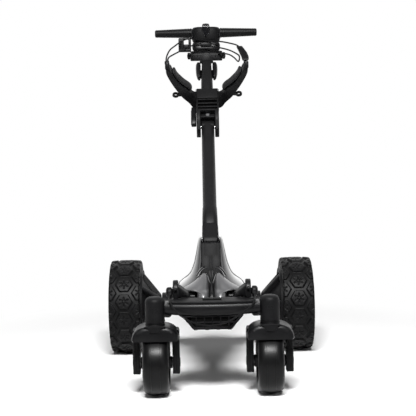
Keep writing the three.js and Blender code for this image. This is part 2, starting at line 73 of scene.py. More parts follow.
# --------------------------------------------------------------- materials
def node_mat(name, col, rough, metal=0.0, grain=900.0, bump=0.12, var=0.25, rvar=0.06, coat=0.0, vscale=18.0, dist=0.0004, extra=None, sheen=0.0, spec=0.5):
    m = C.materials.new(name)
    m.use_nodes = True
    nt = m.node_tree
    n, l = nt.nodes, nt.links
    bs = n["Principled BSDF"]
    tc = n.new("ShaderNodeTexCoord")
    big = n.new("ShaderNodeTexNoise")
    big.inputs["Scale"].default_value = vscale
    big.inputs["Detail"].default_value = 4
    l.new(tc.outputs["Object"], big.inputs["Vector"])
    ramp = n.new("ShaderNodeValToRGB")
    ramp.color_ramp.elements[0].position = 0.3
    ramp.color_ramp.elements[1].position = 0.72
    ramp.color_ramp.elements[0].color = (*[c * (1 - var) for c in col], 1)
    ramp.color_ramp.elements[1].color = (*[min(1, c * (1 + var)) for c in col], 1)
    l.new(big.outputs["Fac"], ramp.inputs["Fac"])
    l.new(ramp.outputs["Color"], bs.inputs["Base Color"])
    rn = n.new("ShaderNodeTexNoise")
    rn.inputs["Scale"].default_value = vscale * 3.1
    rn.inputs["Detail"].default_value = 3
    l.new(tc.outputs["Object"], rn.inputs["Vector"])
    mr = n.new("ShaderNodeMapRange")
    mr.inputs["To Min"].default_value = max(0.02, rough - rvar)
    mr.inputs["To Max"].default_value = min(1, rough + rvar)
    l.new(rn.outputs["Fac"], mr.inputs["Value"])
    l.new(mr.outputs["Result"], bs.inputs["Roughness"])
    bs.inputs["Metallic"].default_value = metal
    bs.inputs["Specular IOR Level"].default_value = spec
    bs.inputs["Coat Weight"].default_value = coat
    bs.inputs["Coat Roughness"].default_value = 0.05
    if sheen:
        bs.inputs["Sheen Weight"].default_value = sheen
    if extra == "weave":
        src = n.new("ShaderNodeTexVoronoi")
        src.inputs["Scale"].default_value = grain
        l.new(tc.outputs["Object"], src.inputs["Vector"])
        h = src.outputs["Distance"]
    elif extra == "brush":
        mp = n.new("ShaderNodeMapping")
        mp.inputs["Scale"].default_value = (1, 14, 14)
        l.new(tc.outputs["Object"], mp.inputs["Vector"])
        src = n.new("ShaderNodeTexNoise")
        src.inputs["Scale"].default_value = grain
        l.new(mp.outputs["Vector"], src.inputs["Vector"])
        h = src.outputs["Fac"]
    else:
        src = n.new("ShaderNodeTexNoise")
        src.inputs["Scale"].default_value = grain
        src.inputs["Detail"].default_value = 2
        l.new(tc.outputs["Object"], src.inputs["Vector"])
        h = src.outputs["Fac"]
    bp = n.new("ShaderNodeBump")
    bp.inputs["Strength"].default_value = bump
    bp.inputs["Distance"].default_value = dist
    l.new(h, bp.inputs["Height"])
    l.new(bp.outputs["Normal"], bs.inputs["Normal"])
    return m


M = {
    "matte": node_mat("matte_black", (0.0034, 0.0034, 0.0038), 0.48, grain=1400, bump=0.25, var=0.25, spec=0.13),
    "satin": node_mat("satin_black", (0.0042, 0.0042, 0.0046), 0.36, grain=1200, bump=0.12, var=0.25, spec=0.17),
    "gloss": node_mat("gloss_black", (0.005, 0.005, 0.0058), 0.1, grain=60, bump=0.02, var=0.15, rvar=0.03, coat=0.8),
    "grey": node_mat("gloss_grey", (0.072, 0.072, 0.0745), 0.38, grain=60, bump=0.02, var=0.14, rvar=0.05, coat=0.25),
    "dark": node_mat("dark_grey_plastic", (0.0034, 0.0034, 0.0038), 0.55, grain=1600, bump=0.3, var=0.2, spec=0.13),
    "tube": node_mat("anodised_tube", (0.0062, 0.0062, 0.0066), 0.45, 0.1, grain=500, bump=0.1, extra="brush", var=0.15, spec=0.15),
    "tyre": node_mat("tread_rubber", (0.0026, 0.0026, 0.0028), 0.48, grain=700, bump=0.35, var=0.35, vscale=30, spec=0.13),
    "caster": node_mat("caster_rubber", (0.0035, 0.0035, 0.0037), 0.33, grain=500, bump=0.05, var=0.25, coat=0.0, spec=0.14),
    "pad": node_mat("soft_pad", (0.0085, 0.0085, 0.009), 0.62, grain=2200, bump=0.4, var=0.18, sheen=0.05, spec=0.16),
    "grip": node_mat("grip_rubber", (0.0042, 0.0042, 0.0045), 0.45, grain=1500, bump=0.3, var=0.2, spec=0.13),
    "cord": node_mat("elastic_cord", (0.003, 0.003, 0.0033), 0.7, grain=900, bump=0.7, extra="weave", dist=0.0006, sheen=0.03, spec=0.1),
    "steel": node_mat("brushed_steel", (0.45, 0.45, 0.46), 0.3, 1.0, grain=300, bump=0.15, extra="brush"),
    # near-black, dull material laid inside recesses and behind openings: painted shade
    "shade_black": node_mat("recess_painted_shade", (0.002, 0.002, 0.002), 0.7, grain=900, bump=0.1, spec=0.06),
}

# ----------------------------------------------------------- mesh building
TH = math.radians(50)
CT, ST = math.cos(TH), math.sin(TH)


def S(x, y, t):
    return (x, -199 + t * CT + y * ST, 405 + t * ST - y * CT)


class Mesh:
    def __init__(self):
        self.v, self.f = [], []

    def add(self, verts, faces):
        o = len(self.v)
        self.v += [tuple(p) for p in verts]
        self.f += [tuple(i + o for i in f) for f in faces]
        return self

    def loft(self, rings, closed=False, tf=None):
        n = len(rings[0])
        v = [p for r in rings for p in r]
        f = []
        m = len(rings)
        for k in range(m if closed else m - 1):
            a0, b0 = k * n, ((k + 1) % m) * n
            for i in range(n):
                j = (i + 1) % n
                f.append((a0 + i, a0 + j, b0 + j, b0 + i))
        if not closed:
            f.append(tuple(range(n))[::-1])
            f.append(tuple((m - 1) * n + i for i in range(n)))
        if tf:
            v = [tf(*p) for p in v]
        return self.add(v, f)

    def lathe(self, prof, axis, c=(0, 0, 0), n=48, tf=None):
        """prof [(r, h)], radius 0 at either end closes on the axis; otherwise the ring of profiles is closed."""
        closed = prof[0][0] > 1e-6
        rings = []
        for r, h in prof:
            ring = []
            for i in range(n):
                a = 2 * math.pi * i / n
                u, w = r * math.cos(a), r * math.sin(a)
                p = (h, u, w) if axis == "x" else ((u, w, h) if axis == "z" else (w, h, u))
                ring.append((p[0] + c[0], p[1] + c[1], p[2] + c[2]))
            rings.append(ring)
        if closed:
            return self.loft(rings, closed=True, tf=tf)
        first, last = prof[0], prof[-1]
        v = [p for r in rings[1:-1] for p in r]
        m = len(rings) - 2
        f = []
        for k in range(m - 1):
            for i in range(n):
                j = (i + 1) % n
                f.append((k * n + i, k * n + j, (k + 1) * n + j, (k + 1) * n + i))
        a, b = len(v), len(v) + 1
        v += [rings[0][0], rings[-1][0]]
        for i in range(n):
            j = (i + 1) % n
            f.append((a, j, i))
            f.append((b, (m - 1) * n + i, (m - 1) * n + j))
        if tf:
            v = [tf(*p) for p in v]
        return self.add(v, f)

    def box(self, x0, x1, y0, y1, z0, z1, r=1.5, seg=3, tf=None):
        bm = bmesh.new()
        bmesh.ops.create_cube(bm, size=1)
        for v in bm.verts:
            v.co = Vector((x0 + (v.co.x + 0.5) * (x1 - x0), y0 + (v.co.y + 0.5) * (y1 - y0), z0 + (v.co.z + 0.5) * (z1 - z0)))
        r = min(r, 0.49 * min(x1 - x0, y1 - y0, z1 - z0))
        if r > 0:
            bmesh.ops.bevel(bm, geom=list(bm.edges), offset=r, segments=seg, profile=0.5, affect="EDGES")
        return self.take(bm, tf)

    def take(self, bm, tf=None):
        bm.verts.index_update()
        v = [tuple(p.co) for p in bm.verts]
        if tf:
            v = [tf(*p) for p in v]
        f = [tuple(q.index for q in x.verts) for x in bm.faces]
        bm.free()
        return self.add(v, f)

    def slab(self, pts, h0, h1, axis="x", r=1.5, seg=2, tf=None):
        """outline drawn out along an axis, with bevelled rims; pts are (y, z), (x, z) or (x, y)."""
        bm = bmesh.new()
        put = {"x": lambda a, b, h: (h, a, b), "y": lambda a, b, h: (a, h, b), "z": lambda a, b, h: (a, b, h)}[axis]
        lo = [bm.verts.new(put(a, b, h0)) for a, b in pts]
        hi = [bm.verts.new(put(a, b, h1)) for a, b in pts]
        fa, fb = bm.faces.new(lo), bm.faces.new(hi[::-1])
        n = len(pts)
        for i in range(n):
            j = (i + 1) % n
            bm.faces.new((lo[j], lo[i], hi[i], hi[j]))
        bmesh.ops.recalc_face_normals(bm, faces=list(bm.faces))
        if r > 0:
            es = [e for f in bm.faces if len(f.verts) == n and n > 4 for e in f.edges] or [e for e in bm.edges]
            bmesh.ops.bevel(bm, geom=list(set(es)), offset=r, segments=seg, profile=0.5, affect="EDGES")
        return self.take(bm, tf)


def ring(cx, cy, z, rx, ry, p=2.0, n=32):
    out = []
    for i in range(n):
        a = 2 * math.pi * i / n
        c, s = math.cos(a), math.sin(a)
        out.append((cx + rx * math.copysign(abs(c) ** (2 / p), c), cy + ry * math.copysign(abs(s) ** (2 / p), s), z))
    return out


def piece(name, mesh, mat, body, replaces=(), angle=38, subsurf=0, bevel=0.0):
    me = C.meshes.new(name)
    me.from_pydata([(x / 1000, y / 1000 + OY, z / 1000) for x, y, z in mesh.v], [], mesh.f)
    me.validate()
    bm = bmesh.new()
    bm.from_mesh(me)
    bmesh.ops.remove_doubles(bm, verts=bm.verts, dist=1e-6)
    bmesh.ops.recalc_face_normals(bm, faces=bm.faces)
    bm.to_mesh(me)
    bm.free()
    ob = C.objects.new(name, me)
    scene.collection.objects.link(ob)
    me.materials.append(M[mat])
    if bevel:
        b = ob.modifiers.new("bevel", "BEVEL")
        b.width, b.segments, b.limit_method, b.angle_limit = bevel / 1000, 2, "ANGLE", math.radians(35)
    if subsurf:
        s = ob.modifiers.new("sub", "SUBSURF")
        s.levels = s.render_levels = subsurf
    smooth(me, angle)
    if body:
        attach(ob, body)
    if replaces:
        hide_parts(*([replaces] if isinstance(replaces, str) else replaces))
    return ob


def smooth(me, angle):
    for p in me.polygons:
        p.use_smooth = True
    if angle < 180:
        bm = bmesh.new()
        bm.from_mesh(me)
        for e in bm.edges:
            if len(e.link_faces) == 2 and e.calc_face_angle(0) > math.radians(angle):
                e.smooth = False
        bm.to_mesh(me)
        bm.free()


def apply_mods(ob):
    dg = bpy.context.evaluated_depsgraph_get()
    me = C.meshes.new_from_object(ob.evaluated_get(dg))
    ob.modifiers.clear()
    ob.data = me
    return ob


def subtract(ob, *meshes):
    cutters = []
    for k, m in enumerate(meshes):
        me = C.meshes.new("cutter")
        me.from_pydata([(x / 1000, y / 1000 + OY, z / 1000) for x, y, z in m.v], [], m.f)
        bm = bmesh.new()
        bm.from_mesh(me)
        bmesh.ops.recalc_face_normals(bm, faces=bm.faces)
        bm.to_mesh(me)
        bm.free()
        co = C.objects.new("cutter", me)
        scene.collection.objects.link(co)
        md = ob.modifiers.new("cut", "BOOLEAN")
        md.operation, md.solver, md.object = "DIFFERENCE", "EXACT", co
        cutters.append(co)
    bpy.context.view_layer.update()
    mw = ob.matrix_world.copy()
    apply_mods(ob)
    for co in cutters:
        C.objects.remove(co)
    return ob


def spline(points, n):
    """centripetal Catmull-Rom through the points, n even samples"""
    p = np.array(points, float)
    p = np.vstack([2 * p[0] - p[1], p, 2 * p[-1] - p[-2]])
    out = []
    for i in range(1, len(p) - 2):
        q = p[i - 1:i + 3]
        t = [0.0]
        for a, b in zip(q[:-1], q[1:]):
            t.append(t[-1] + max(1e-6, np.linalg.norm(b - a)) ** 0.5)
        for s in np.linspace(t[1], t[2], 24, endpoint=False):
            a1 = (t[1] - s) / (t[1] - t[0]) * q[0] + (s - t[0]) / (t[1] - t[0]) * q[1]
            a2 = (t[2] - s) / (t[2] - t[1]) * q[1] + (s - t[1]) / (t[2] - t[1]) * q[2]
            a3 = (t[3] - s) / (t[3] - t[2]) * q[2] + (s - t[2]) / (t[3] - t[2]) * q[3]
            b1 = (t[2] - s) / (t[2] - t[0]) * a1 + (s - t[0]) / (t[2] - t[0]) * a2
            b2 = (t[3] - s) / (t[3] - t[1]) * a2 + (s - t[1]) / (t[3] - t[1]) * a3
            out.append((t[2] - s) / (t[2] - t[1]) * b1 + (s - t[1]) / (t[2] - t[1]) * b2)
    out.append(p[-2])
    out = np.array(out)
    d = np.r_[0, np.cumsum(np.linalg.norm(np.diff(out, axis=0), axis=1))]
    u = np.linspace(0, d[-1], n)
    return np.stack([np.interp(u, d, out[:, k]) for k in range(3)], 1), d[-1]


def tube(path, r, sides=10, rib=0.0):
    p = np.array(path)
    t = np.gradient(p, axis=0)
    t /= np.linalg.norm(t, axis=1)[:, None]
    nrm = np.cross(t[0], [0, 0, 1.0])
    if np.linalg.norm(nrm) < 1e-3:
        nrm = np.cross(t[0], [1.0, 0, 0])
    nrm /= np.linalg.norm(nrm)
    rings = []
    for k in range(len(p)):
        nrm = nrm - t[k] * (nrm @ t[k])
        nrm /= np.linalg.norm(nrm)
        b = np.cross(t[k], nrm)
        rk = r * (1 + rib * math.sin(k * 2.1))
        rings.append([tuple(p[k] + rk * (math.cos(a) * nrm + math.sin(a) * b)) for a in np.linspace(0, 2 * math.pi, sides, endpoint=False)])
    return Mesh().loft(rings)


def cord_piece(name, points, dia, body, node, exit_first=True):
    path, length = spline(points, 90)
    ob = piece(name, tube(path, dia / 2, 12), "cord", body, node, angle=180)
    mpath = [(x / 1000, y / 1000 + OY, z / 1000) for x, y, z in path]
    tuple(mpath[0])
    return ob, length


# ------------------------------------------------------------------- cords
LOW = [[-117, -579, 276], [-118, -596, 271], [-116, -625, 267.5], [-113, -646, 263], [-106, -655, 252], [-94.9, -658, 238.4], [-63.2, -660, 216.7], [-32.4, -661, 205.4], [-1.9, -661, 202.9],
       [30.3, -661, 208.5], [60, -660, 222], [92, -658, 243], [106, -655, 254], [113, -646, 264], [116, -625, 267.5], [118, -596, 271], [117, -579, 276]]
SF = [[-135, 33, 962.5], [-134, 58, 981], [-124, 100, 1007], [-106, 150, 1027], [-84, 205, 1048], [-58, 250, 1060], [-28, 274, 1058], [18, 281, 1053.5], [55, 266, 1049], [86, 222, 1038], [102, 170, 1028], [110, 115, 1017], [111, 75.2, 1008]]
SR = [[-130, 35, 963.5], [-128, 64, 978], [-114, 110, 992], [-92, 160, 1008], [-66, 212, 1027], [-40, 250, 1036.5], [-8, 270, 1037], [26, 268, 1032], [58, 240, 1023], [84, 190, 1010], [99, 140, 997], [107, 100, 987.5], [110, 80, 982], [111, 72, 973], [109, 79, 964.5], [105, 100, 966], [96, 138, 980], [80, 200, 997], [60, 250, 1006], [44, 275.6, 1008]]
_, L1 = cord_piece("lower_bungee", LOW, 5, "chassis", "lower_cord")
_, L2 = cord_piece("strap_front_strand", SF, 5, "stem_upper", "strap_front")
_, L3 = cord_piece("strap_rear_strand", SR, 5, "stem_upper", "strap_rear")
print("cord lengths mm", round(L1), round(L2), round(L3))


# ------------------------------------------------------------- rear wheels
def tread_mesh(k):
    N, PITCH = 16, 2 * math.pi * 152.5 / 16
    W0, W1, CX = 231.5, 330.6, 281.05
    ns, nx = 16 * 40, 60
    xs = np.linspace(-49.55, 49.55, nx)
    ss = np.arange(ns) / ns * PITCH * N
    X, Sg = np.meshgrid(xs, ss)
    ci = np.round(Sg / PITCH) * PITCH
    ce = (np.floor(Sg / PITCH) + 0.5) * PITCH

    def hd(ds, dx):
        return np.maximum(np.abs(ds), np.abs(ds) * 0.5 + np.abs(dx) * math.sqrt(3) / 2)

    d0 = hd(Sg - ci, X)
    d1 = hd(Sg - ce, np.abs(X) - 51.9)
    central = d0 < d1
    d = np.minimum(d0, d1)
    blk = np.clip((24.6 - d) / 2.2, 0, 1)
    blk = blk * blk * (3 - 2 * blk)
    lx = np.where(central, X, np.abs(X) - 51.9)
    ls = np.where(central, Sg - ci, Sg - ce)
    rad, ang = np.hypot(lx, ls), np.arctan2(ls, lx)
    step = math.pi / 3
    off = math.pi / 6
    da = (ang - off) - np.round((ang - off) / step) * step
    across, along = np.abs(rad * np.sin(da)), rad * np.cos(da)
    star = np.clip((2.3 - across) / 1.0, 0, 1) * np.clip((along - 3.6) / 1.0, 0, 1) * np.clip((16.5 - along) / 1.0, 0, 1)
    hexline = np.clip((1.1 - np.abs(d - 18.2)) / 0.8, 0, 1)
    crown = 152.5 - 2.4 * (np.abs(X) / 49.55) ** 3 - 3.0 * np.clip((np.abs(X) - 45.5) / 4.05, 0, 1) ** 2
    R = crown - 6.2 * (1 - blk) - 2.8 * star * blk
    R = np.minimum(R, 152.5)
    rings = []
    a = -ss / (PITCH * N) * 2 * math.pi + (0.14 if k > 0 else 0.154)
    prof_in = [(118.4, -49.3), (126, -49.3), (141, -49.5), (145, -49.55)]
    prof_out = [(145, 49.55), (141, 49.5), (126, 49.3), (118.4, 49.3)]
    v, f = [], []
    cols = [np.full(ns, r) for r, _ in prof_in] + [R[:, i] for i in range(nx)] + [np.full(ns, r) for r, _ in prof_out]
    cxs = [x for _, x in prof_in] + list(xs) + [x for _, x in prof_out]
    m = len(cols)
    V = np.zeros((m, ns, 3))
    for j in range(m):
        V[j, :, 0] = k * (CX + cxs[j])
        V[j, :, 1] = cols[j] * np.cos(a)
        V[j, :, 2] = AXZ + cols[j] * np.sin(a)
    idx = np.arange(m * ns).reshape(m, ns)
    q = np.stack([idx[:, :], np.roll(idx, -1, 1), np.roll(np.roll(idx, -1, 1), -1, 0), np.roll(idx, -1, 0)], -1).reshape(-1, 4)
    me = Mesh()
    me.v = [tuple(p) for p in V.reshape(-1, 3)]
    me.f = [tuple(int(i) for i in r) for r in q]
    return me


for side, k in (("L", -1), ("R", 1)):
    body = f"rear_wheel_{side}"
    piece(f"tread_{side}", tread_mesh(k), "tyre", body, f"rear_tyre_{side}", angle=70)
    m = Mesh()
    m.lathe([(104, k * 226), (105, k * 225), (117, k * 225), (118, k * 226.5), (118, k * 321), (116.5, k * 323), (112, k * 323.5), (108, k * 320), (104, k * 316)], "x", (0, 0, AXZ), 72)
    m.lathe([(9.4, k * 167), (34, k * 167), (40, k * 170), (44, k * 177), (44, k * 190), (40, k * 198), (34, k * 206), (34, k * 296), (40, k * 302), (70, k * 306), (104.2, k * 309), (104.2, k * 304), (70, k * 300), (30, k * 296), (9.4, k * 296)], "x", (0, 0, AXZ), 60)
    for i in range(6):
        t = math.radians(i * 60 + (78 if k < 0 else 52))

        def at(r, w, x, t=t):
            return (k * x, math.cos(t) * r - math.sin(t) * w, AXZ + math.sin(t) * r + math.cos(t) * w)

        secs = []
        for r, w, x0, x1 in ((33, 12, 168, 200), (40, 11.5, 170.5, 203), (76, 9.5, 199, 226), (108, 8, 225, 249), (110, 8, 226.5, 250)):
            b = 2.2
            secs.append([at(r, -w + b, x0), at(r, w - b, x0), at(r, w, x0 + b), at(r, w, x1), at(r, -w, x1), at(r, -w, x0 + b)])
        m.loft(secs)
        # outboard spoke, a raised tapering bar on the dish
        secs = []
        for r, w, x0, x1 in ((28, 15, 300, 314), (34, 14, 301, 316.5), (70, 11, 303, 317), (98, 14, 305, 318), (107, 19, 306, 319)):
            b = 3
            secs.append([at(r, -w, x0), at(r, -w, x1 - b), at(r, -w + b, x1), at(r, w - b, x1), at(r, w, x1 - b), at(r, w, x0)])
        m.loft(secs)
    m.lathe([(34, k * 188), (36, k * 186), (70, k * 213), (106, k * 238), (106, k * 241), (70, k * 217)], "x", (0, 0, AXZ), 60)
    piece(f"wheel_rim_{side}", m, "matte", body, f"rear_rim_{side}")
    cap = Mesh().lathe([(0, k * 320.0), (26.5, k * 320.0), (27, k * 321), (27, k * 325), (25, k * 327.4), (20, k * 327.8), (19, k * 326.6), (12, k * 326.4), (0, k * 327.2)], "x", (0, 0, AXZ), 48)
    for i in range(12):
        a = i * math.pi / 6
        cap.box(min(k * 312.6, k * 325), max(k * 312.6, k * 325), 26 * math.cos(a) - 1.6, 26 * math.cos(a) + 1.6, AXZ + 26 * math.sin(a) - 1.6, AXZ + 26 * math.sin(a) + 1.6, 0.8)
    cap.lathe([(0, k * 312.4), (20, k * 312.4), (20, k * 320.2), (0, k * 320.2)], "x", (0, 0, AXZ), 32)
    piece(f"release_cap_{side}", cap, "satin", f"hub_release_cap_{side}", f"hub_cap_{side}")

# axle tube with clamp rings and ribs
m = Mesh().lathe([(24.5, -164), (40, -164), (42, -162), (42, -141), (39, -137), (33.5, -133), (32, -129), (32, -20), (34.5, -18), (34.5, 18), (32, 20), (32, 129), (33.5, 133), (39, 137), (42, 141), (42, 162), (40, 164), (24.5, 164)], "x", (0, 0, AXZ), 64)
for x in (-112, -92, -72, 72, 92, 112):
    m.lathe([(31, x - 2), (33.4, x - 1.4), (33.4, x + 1.4), (31, x + 2)], "x", (0, 0, AXZ), 48)
piece("axle_tube", m, "matte", "chassis", "axle_housing")

# -------------------------------------------------------------------- hull
HULL = [(231, -188, 107, 152, 3), (240, -188, 107, 152, 3), (249, -188.5, 104, 149, 3), (256, -190, 97, 143, 2.9), (264, -193, 87, 136, 2.8), (272, -198, 78, 127, 2.7), (281, -204, 70, 117, 2.6), (292, -211, 63, 104, 2.6),
        (306, -217, 57.5, 91, 2.6), (322, -221, 52, 80, 2.7), (342, -224, 47.5, 68, 2.8), (364, -226, 43, 57, 2.9), (382, -226, 39.5, 49.5, 3), (393, -225.5, 37, 45, 3), (399, -225, 34.5, 41, 3), (402, -224, 31, 37, 3)]
n = 72
m = Mesh().loft([ring(0, y, z, rx, ry, p, n) for z, y, rx, ry, p in HULL])
hull = piece("hull", m, "gloss", "chassis", "hull_shell", angle=50)
PY, PZ = -199 - 20 * CT, 405 - 20 * ST
well = Mesh().box(-26.4, 26.4, -330, -96, PZ - 2, 430, 0.0)
rodm = Mesh().lathe([(0, -26.4), (43, -26.4), (43, 26.4), (0, 26.4)], "x", (0, PY, PZ), 48)
bay = Mesh().box(-46.6, 46.6, -150.6, -50, 252, 372, 0)
slotm = Mesh().box(-30, 30, -365, -257, 220, 392, 0)
axle = Mesh().lathe([(0, -128), (42.6, -128), (42.6, 128), (0, 128)], "x", (0, 0, AXZ), 48)
subtract(hull, well, rodm, bay, slotm, axle)
smooth(hull.data, 40)

# front panel: matte centre with its slot, between the gloss flanks
m = Mesh()
prof = [(-258, 232), (-258, 384), (-270, 384), (-276, 366), (-284, 342), (-293, 322), (-305, 306), (-318, 292), (-330, 272), (-336, 250), (-338, 232)]
m.slab(prof, -29, -2.0, "x", 1.6)
m.slab([(a + (3.5 if a < -260 and b < 335 else 0), b) for a, b in prof], -2.6, 2.6, "x", 0.3)
m.slab(prof, 2.0, 29, "x", 1.6)
m.slab([(-258, 348), (-258, 383.4), (-270.3, 383.4), (-276.4, 366), (-282.2, 348)], -20, 20, "x", 0.5)
piece("front_cover", m, "dark", "chassis", "front_panel")

# nose: two gloss grey lobes, a black spine between them and swept black brows
m = Mesh()
for k in (-1, 1):
    rings = []
    for z, x0_, x1_, y, ry, p in ((231, 6.5, 43, -397, 52, 2.8), (240, 7, 43, -396, 51, 2.7), (250, 7.2, 43, -393, 48, 2.6), (256, 7.5, 44, -391, 45.5, 2.6), (259, 7.6, 52, -389, 43.5, 2.6), (261.5, 7.8, 72, -387, 42, 2.4), (264, 8, 82, -386, 40.5, 2.3), (267, 8.3, 79, -385, 38.5, 2.3), (272, 8.8, 68, -383, 36, 2.3), (279, 9.6, 56, -380, 31.5, 2.3), (287, 10.8, 45.5, -376, 26, 2.2), (294, 12.2, 38, -373, 20.5, 2.1), (300, 14, 31.5, -371, 15, 2), (304, 16.4, 27.4, -370, 9, 2), (306, 19, 23.6, -369, 4, 2)):
        x, rx = (x0_ + x1_) / 2, (x1_ - x0_) / 2
        rings.append(ring(k * x, y, z, rx, ry, p, 32))
    m.loft(rings)
piece("nose_lobes", m, "grey", "chassis", "nose_fairing", angle=60)
m = Mesh().slab([(-452, 226.8), (-452, 233), (-343, 236), (-343, 226.8)], -60, 60, "x", 0.8)
path, _ = spline([[0, -342, 306], [0, -356, 300], [0, -378, 287], [0, -406, 268], [0, -436, 252], [0, -448, 236]], 26)
secs = []
for i, (x, y, z) in enumerate(path):
    w = 7 - 2.6 * math.sin(i / 25 * math.pi)
    secs.append([(-w, y, z + 2), (-w * 0.5, y - 5, z + 5), (w * 0.5, y - 5, z + 5), (w, y, z + 2), (w, y + 14, z - 8), (-w, y + 14, z - 8)])
m.loft(secs)
for k in (-1, 1):
    pth, _ = spline([[k * 12, -338, 316], [k * 20, -342, 318.5], [k * 30, -350, 313], [k * 37, -357, 305], [k * 42, -364, 298]], 30)
    secs = []
    for i, (x, y, z) in enumerate(pth):
        w = 3.2 + 3.4 * (i / 29)
        secs.append([(x - k * 1.0, y - w, z - 3), (x + k * 2.4, y - w, z + 2), (x + k * 3.4, y + 8, z + 3), (x - k * 1, y + 8, z - 3)])
    m.loft(secs)
for k in (-1, 1):
    m.box(min(k * 43.5, k * 84), max(k * 43.5, k * 84), -412, -366, 232, 257, 3)
    m.lathe([(0, k * 50), (8, k * 50), (8, k * 62), (0, k * 62)], "x", (0, -414, 243), 24)
piece("nose_spine", m, "satin", "chassis", angle=50)
# thin grey lips along the inner and upper rims of the two lobes: painted highlight lines where the rims catch the
# light
m = Mesh()
for k in (-1, 1):
    for pts, w0 in (([[k * 16, -372, 308], [k * 11.5, -379, 299], [k * 7.5, -388, 288], [k * 3.2, -396, 279], [k * 1.8, -404, 272]], 0.9), ([[k * 14, -349, 319], [k * 21, -352, 318], [k * 30, -360, 312], [k * 37, -367, 303], [k * 42, -371, 296]], 1.1)):
        pth, _ = spline(pts, 24)
        secs = []
        for i, (x, y, z) in enumerate(pth):
            w = w0 * (0.12 + 0.88 * math.sin((i + 0.5) / 24 * math.pi))
            secs.append([(x + w * math.cos(a), y + 0.7 * w * math.sin(a), z + w * math.sin(a)) for a in np.linspace(0, 2 * math.pi, 8, endpoint=False)])
        m.loft(secs)
piece("nose_highlight_lips", m, "grey", "chassis")

# chassis beam: the CAD shape as it is, in matte black
for nm, mat in (("chassis_beam", "matte"),):
    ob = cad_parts[nm]
    ob.data.materials.clear()
    ob.data.materials.append(M[mat])

# battery in its bay, with a carrying loop
m = Mesh().box(-46, 46, -150, -51, 252.6, 295, 6, 4)
m.box(-40, 40, -144, -57, 294, 296.2, 1.1)
pth, _ = spline([[-30, -100, 293], [-30, -100, 299], [-24, -100, 303], [24, -100, 303], [30, -100, 299], [30, -100, 293]], 30)
m.loft([[(x - 0, y - 10, z), (x, y + 10, z), (x * 0.92, y + 10, z - 2.6), (x * 0.92, y - 10, z - 2.6)] for x, y, z in pth])
for x in (-32, -16, 0, 16, 32):
    m.box(x - 4, x + 4, -52, -50.4, 262, 288, 0.7)
piece("battery_pack_body", m, "dark", "battery_pack", "battery")

# ------------------------------------------------- front beam, tray, cord rest
def bumper_mesh():
    m = Mesh()
    n = 49
    rings = []
    for i in range(n):
        x = -129 + 258 * i / (n - 1)
        front = -651 + 11 * (x / 129) ** 2
        lowf = 226 + 4.5 * (abs(x) / 129) ** 2
        r = []
        for fy, fz in ((0, 0.0), (-0.0, 1.0)):
            pass
        back = -560
        sec = [(back, 228), (back, 255), (back + 1, 256), (front + 8, 257.5), (front + 3, 256), (front + 0.8, 252), (front + 0.0, 246), (front + 1.2, 238), (front + 4, lowf + 3), (front + 8, lowf), (back + 2, 227)]
        rings.append([(x, a, b) for a, b in sec])
    m.loft(rings)
    return m


b = piece("front_beam", bumper_mesh(), "satin", "chassis", "bumper", angle=40)
cuts = [Mesh().lathe([(0, 200), (26.9, 200), (26.9, 300), (0, 300)], "z", (k * 156, -625, 0), 64) for k in (-1, 1)]
subtract(b, *cuts)
smooth(b.data, 40)
m = Mesh()
out = []
for i in range(25):
    x = -110 + 220 * i / 24
    out.append((x, -639 + 9 * (x / 110) ** 2))
outline = out + [(116, -622), (118, -600), (114, -566), (108, -561), (-108, -561), (-114, -566), (-118, -600), (-116, -622)]
m.slab(outline, 256.4, 263.5, "z", 1.8, 3)
deck = piece("bag_deck", m, "dark", "chassis")
subtract(deck, Mesh().box(-26, 26, -618, -584, 258.2, 270, 0))
smooth(deck.data, 40)
# near-black sheet at the floor of the deck recess: painted shade inside the recess
m = Mesh().box(-22, 22, -612, -590, 257.6, 260.5, 1)
piece("deck_recess_shade", m, "shade_black", "chassis")

# tray: grille with ribs and openings under the beam
m = Mesh()
W = lambda z: 56 + (z - 188) * (66 - 56) / 14.6 if z < 202.6 else 66 + (z - 202.6) * 6 / 23
m.slab([(-84, 225.8), (-64, 203), (-54, 190), (-50, 188), (50, 188), (54, 190), (64, 203), (84, 225.8), (76, 225.8), (58, 206), (49, 195), (-49, 195), (-58, 206), (-76, 225.8)], -642, -635, "y", 1.2)
m.box(-80, 80, -641, -562, 222, 225.8, 1.2)
m.slab([(-83, 225.4), (-63.4, 202.8), (-49.6, 188.4), (49.6, 188.4), (63.4, 202.8), (83, 225.4)], -567, -563, "y", 0.8)
m.slab([(-84, 225.6), (-64, 202.6), (-58, 202.6), (-77, 225.6)], -636, -562, "y", 0.8)
m.slab([(84, 225.6), (64, 202.6), (58, 202.6), (77, 225.6)], -636, -562, "y", 0.8)
m.slab([(-64, 203), (-50, 188.2), (-45, 188.2), (-58, 203)], -636, -562, "y", 0.8)
m.slab([(64, 203), (50, 188.2), (45, 188.2), (58, 203)], -636, -562, "y", 0.8)
m.box(-48, 48, -636, -562, 188.2, 192, 1.0)
for x in (-44, -22, 0, 22, 44):
    m.box(x - 1.6, x + 1.6, -641, -634, 192, 224, 0.8)
m.box(-62, 62, -640.5, -634, 206, 209, 0.8)
for x in (-46, -15, 15, 46):
    m.box(x - 5, x + 5, -641.5, -632, 187.0, 190.5, 1.0)
piece("tray_grille", m, "matte", "chassis", "tray")
# near-black sheet behind the grille openings: painted shade in the space behind them
m = Mesh().box(-58, 58, -634, -630, 194, 222, 0.6)
piece("tray_back_shade", m, "shade_black", "chassis")

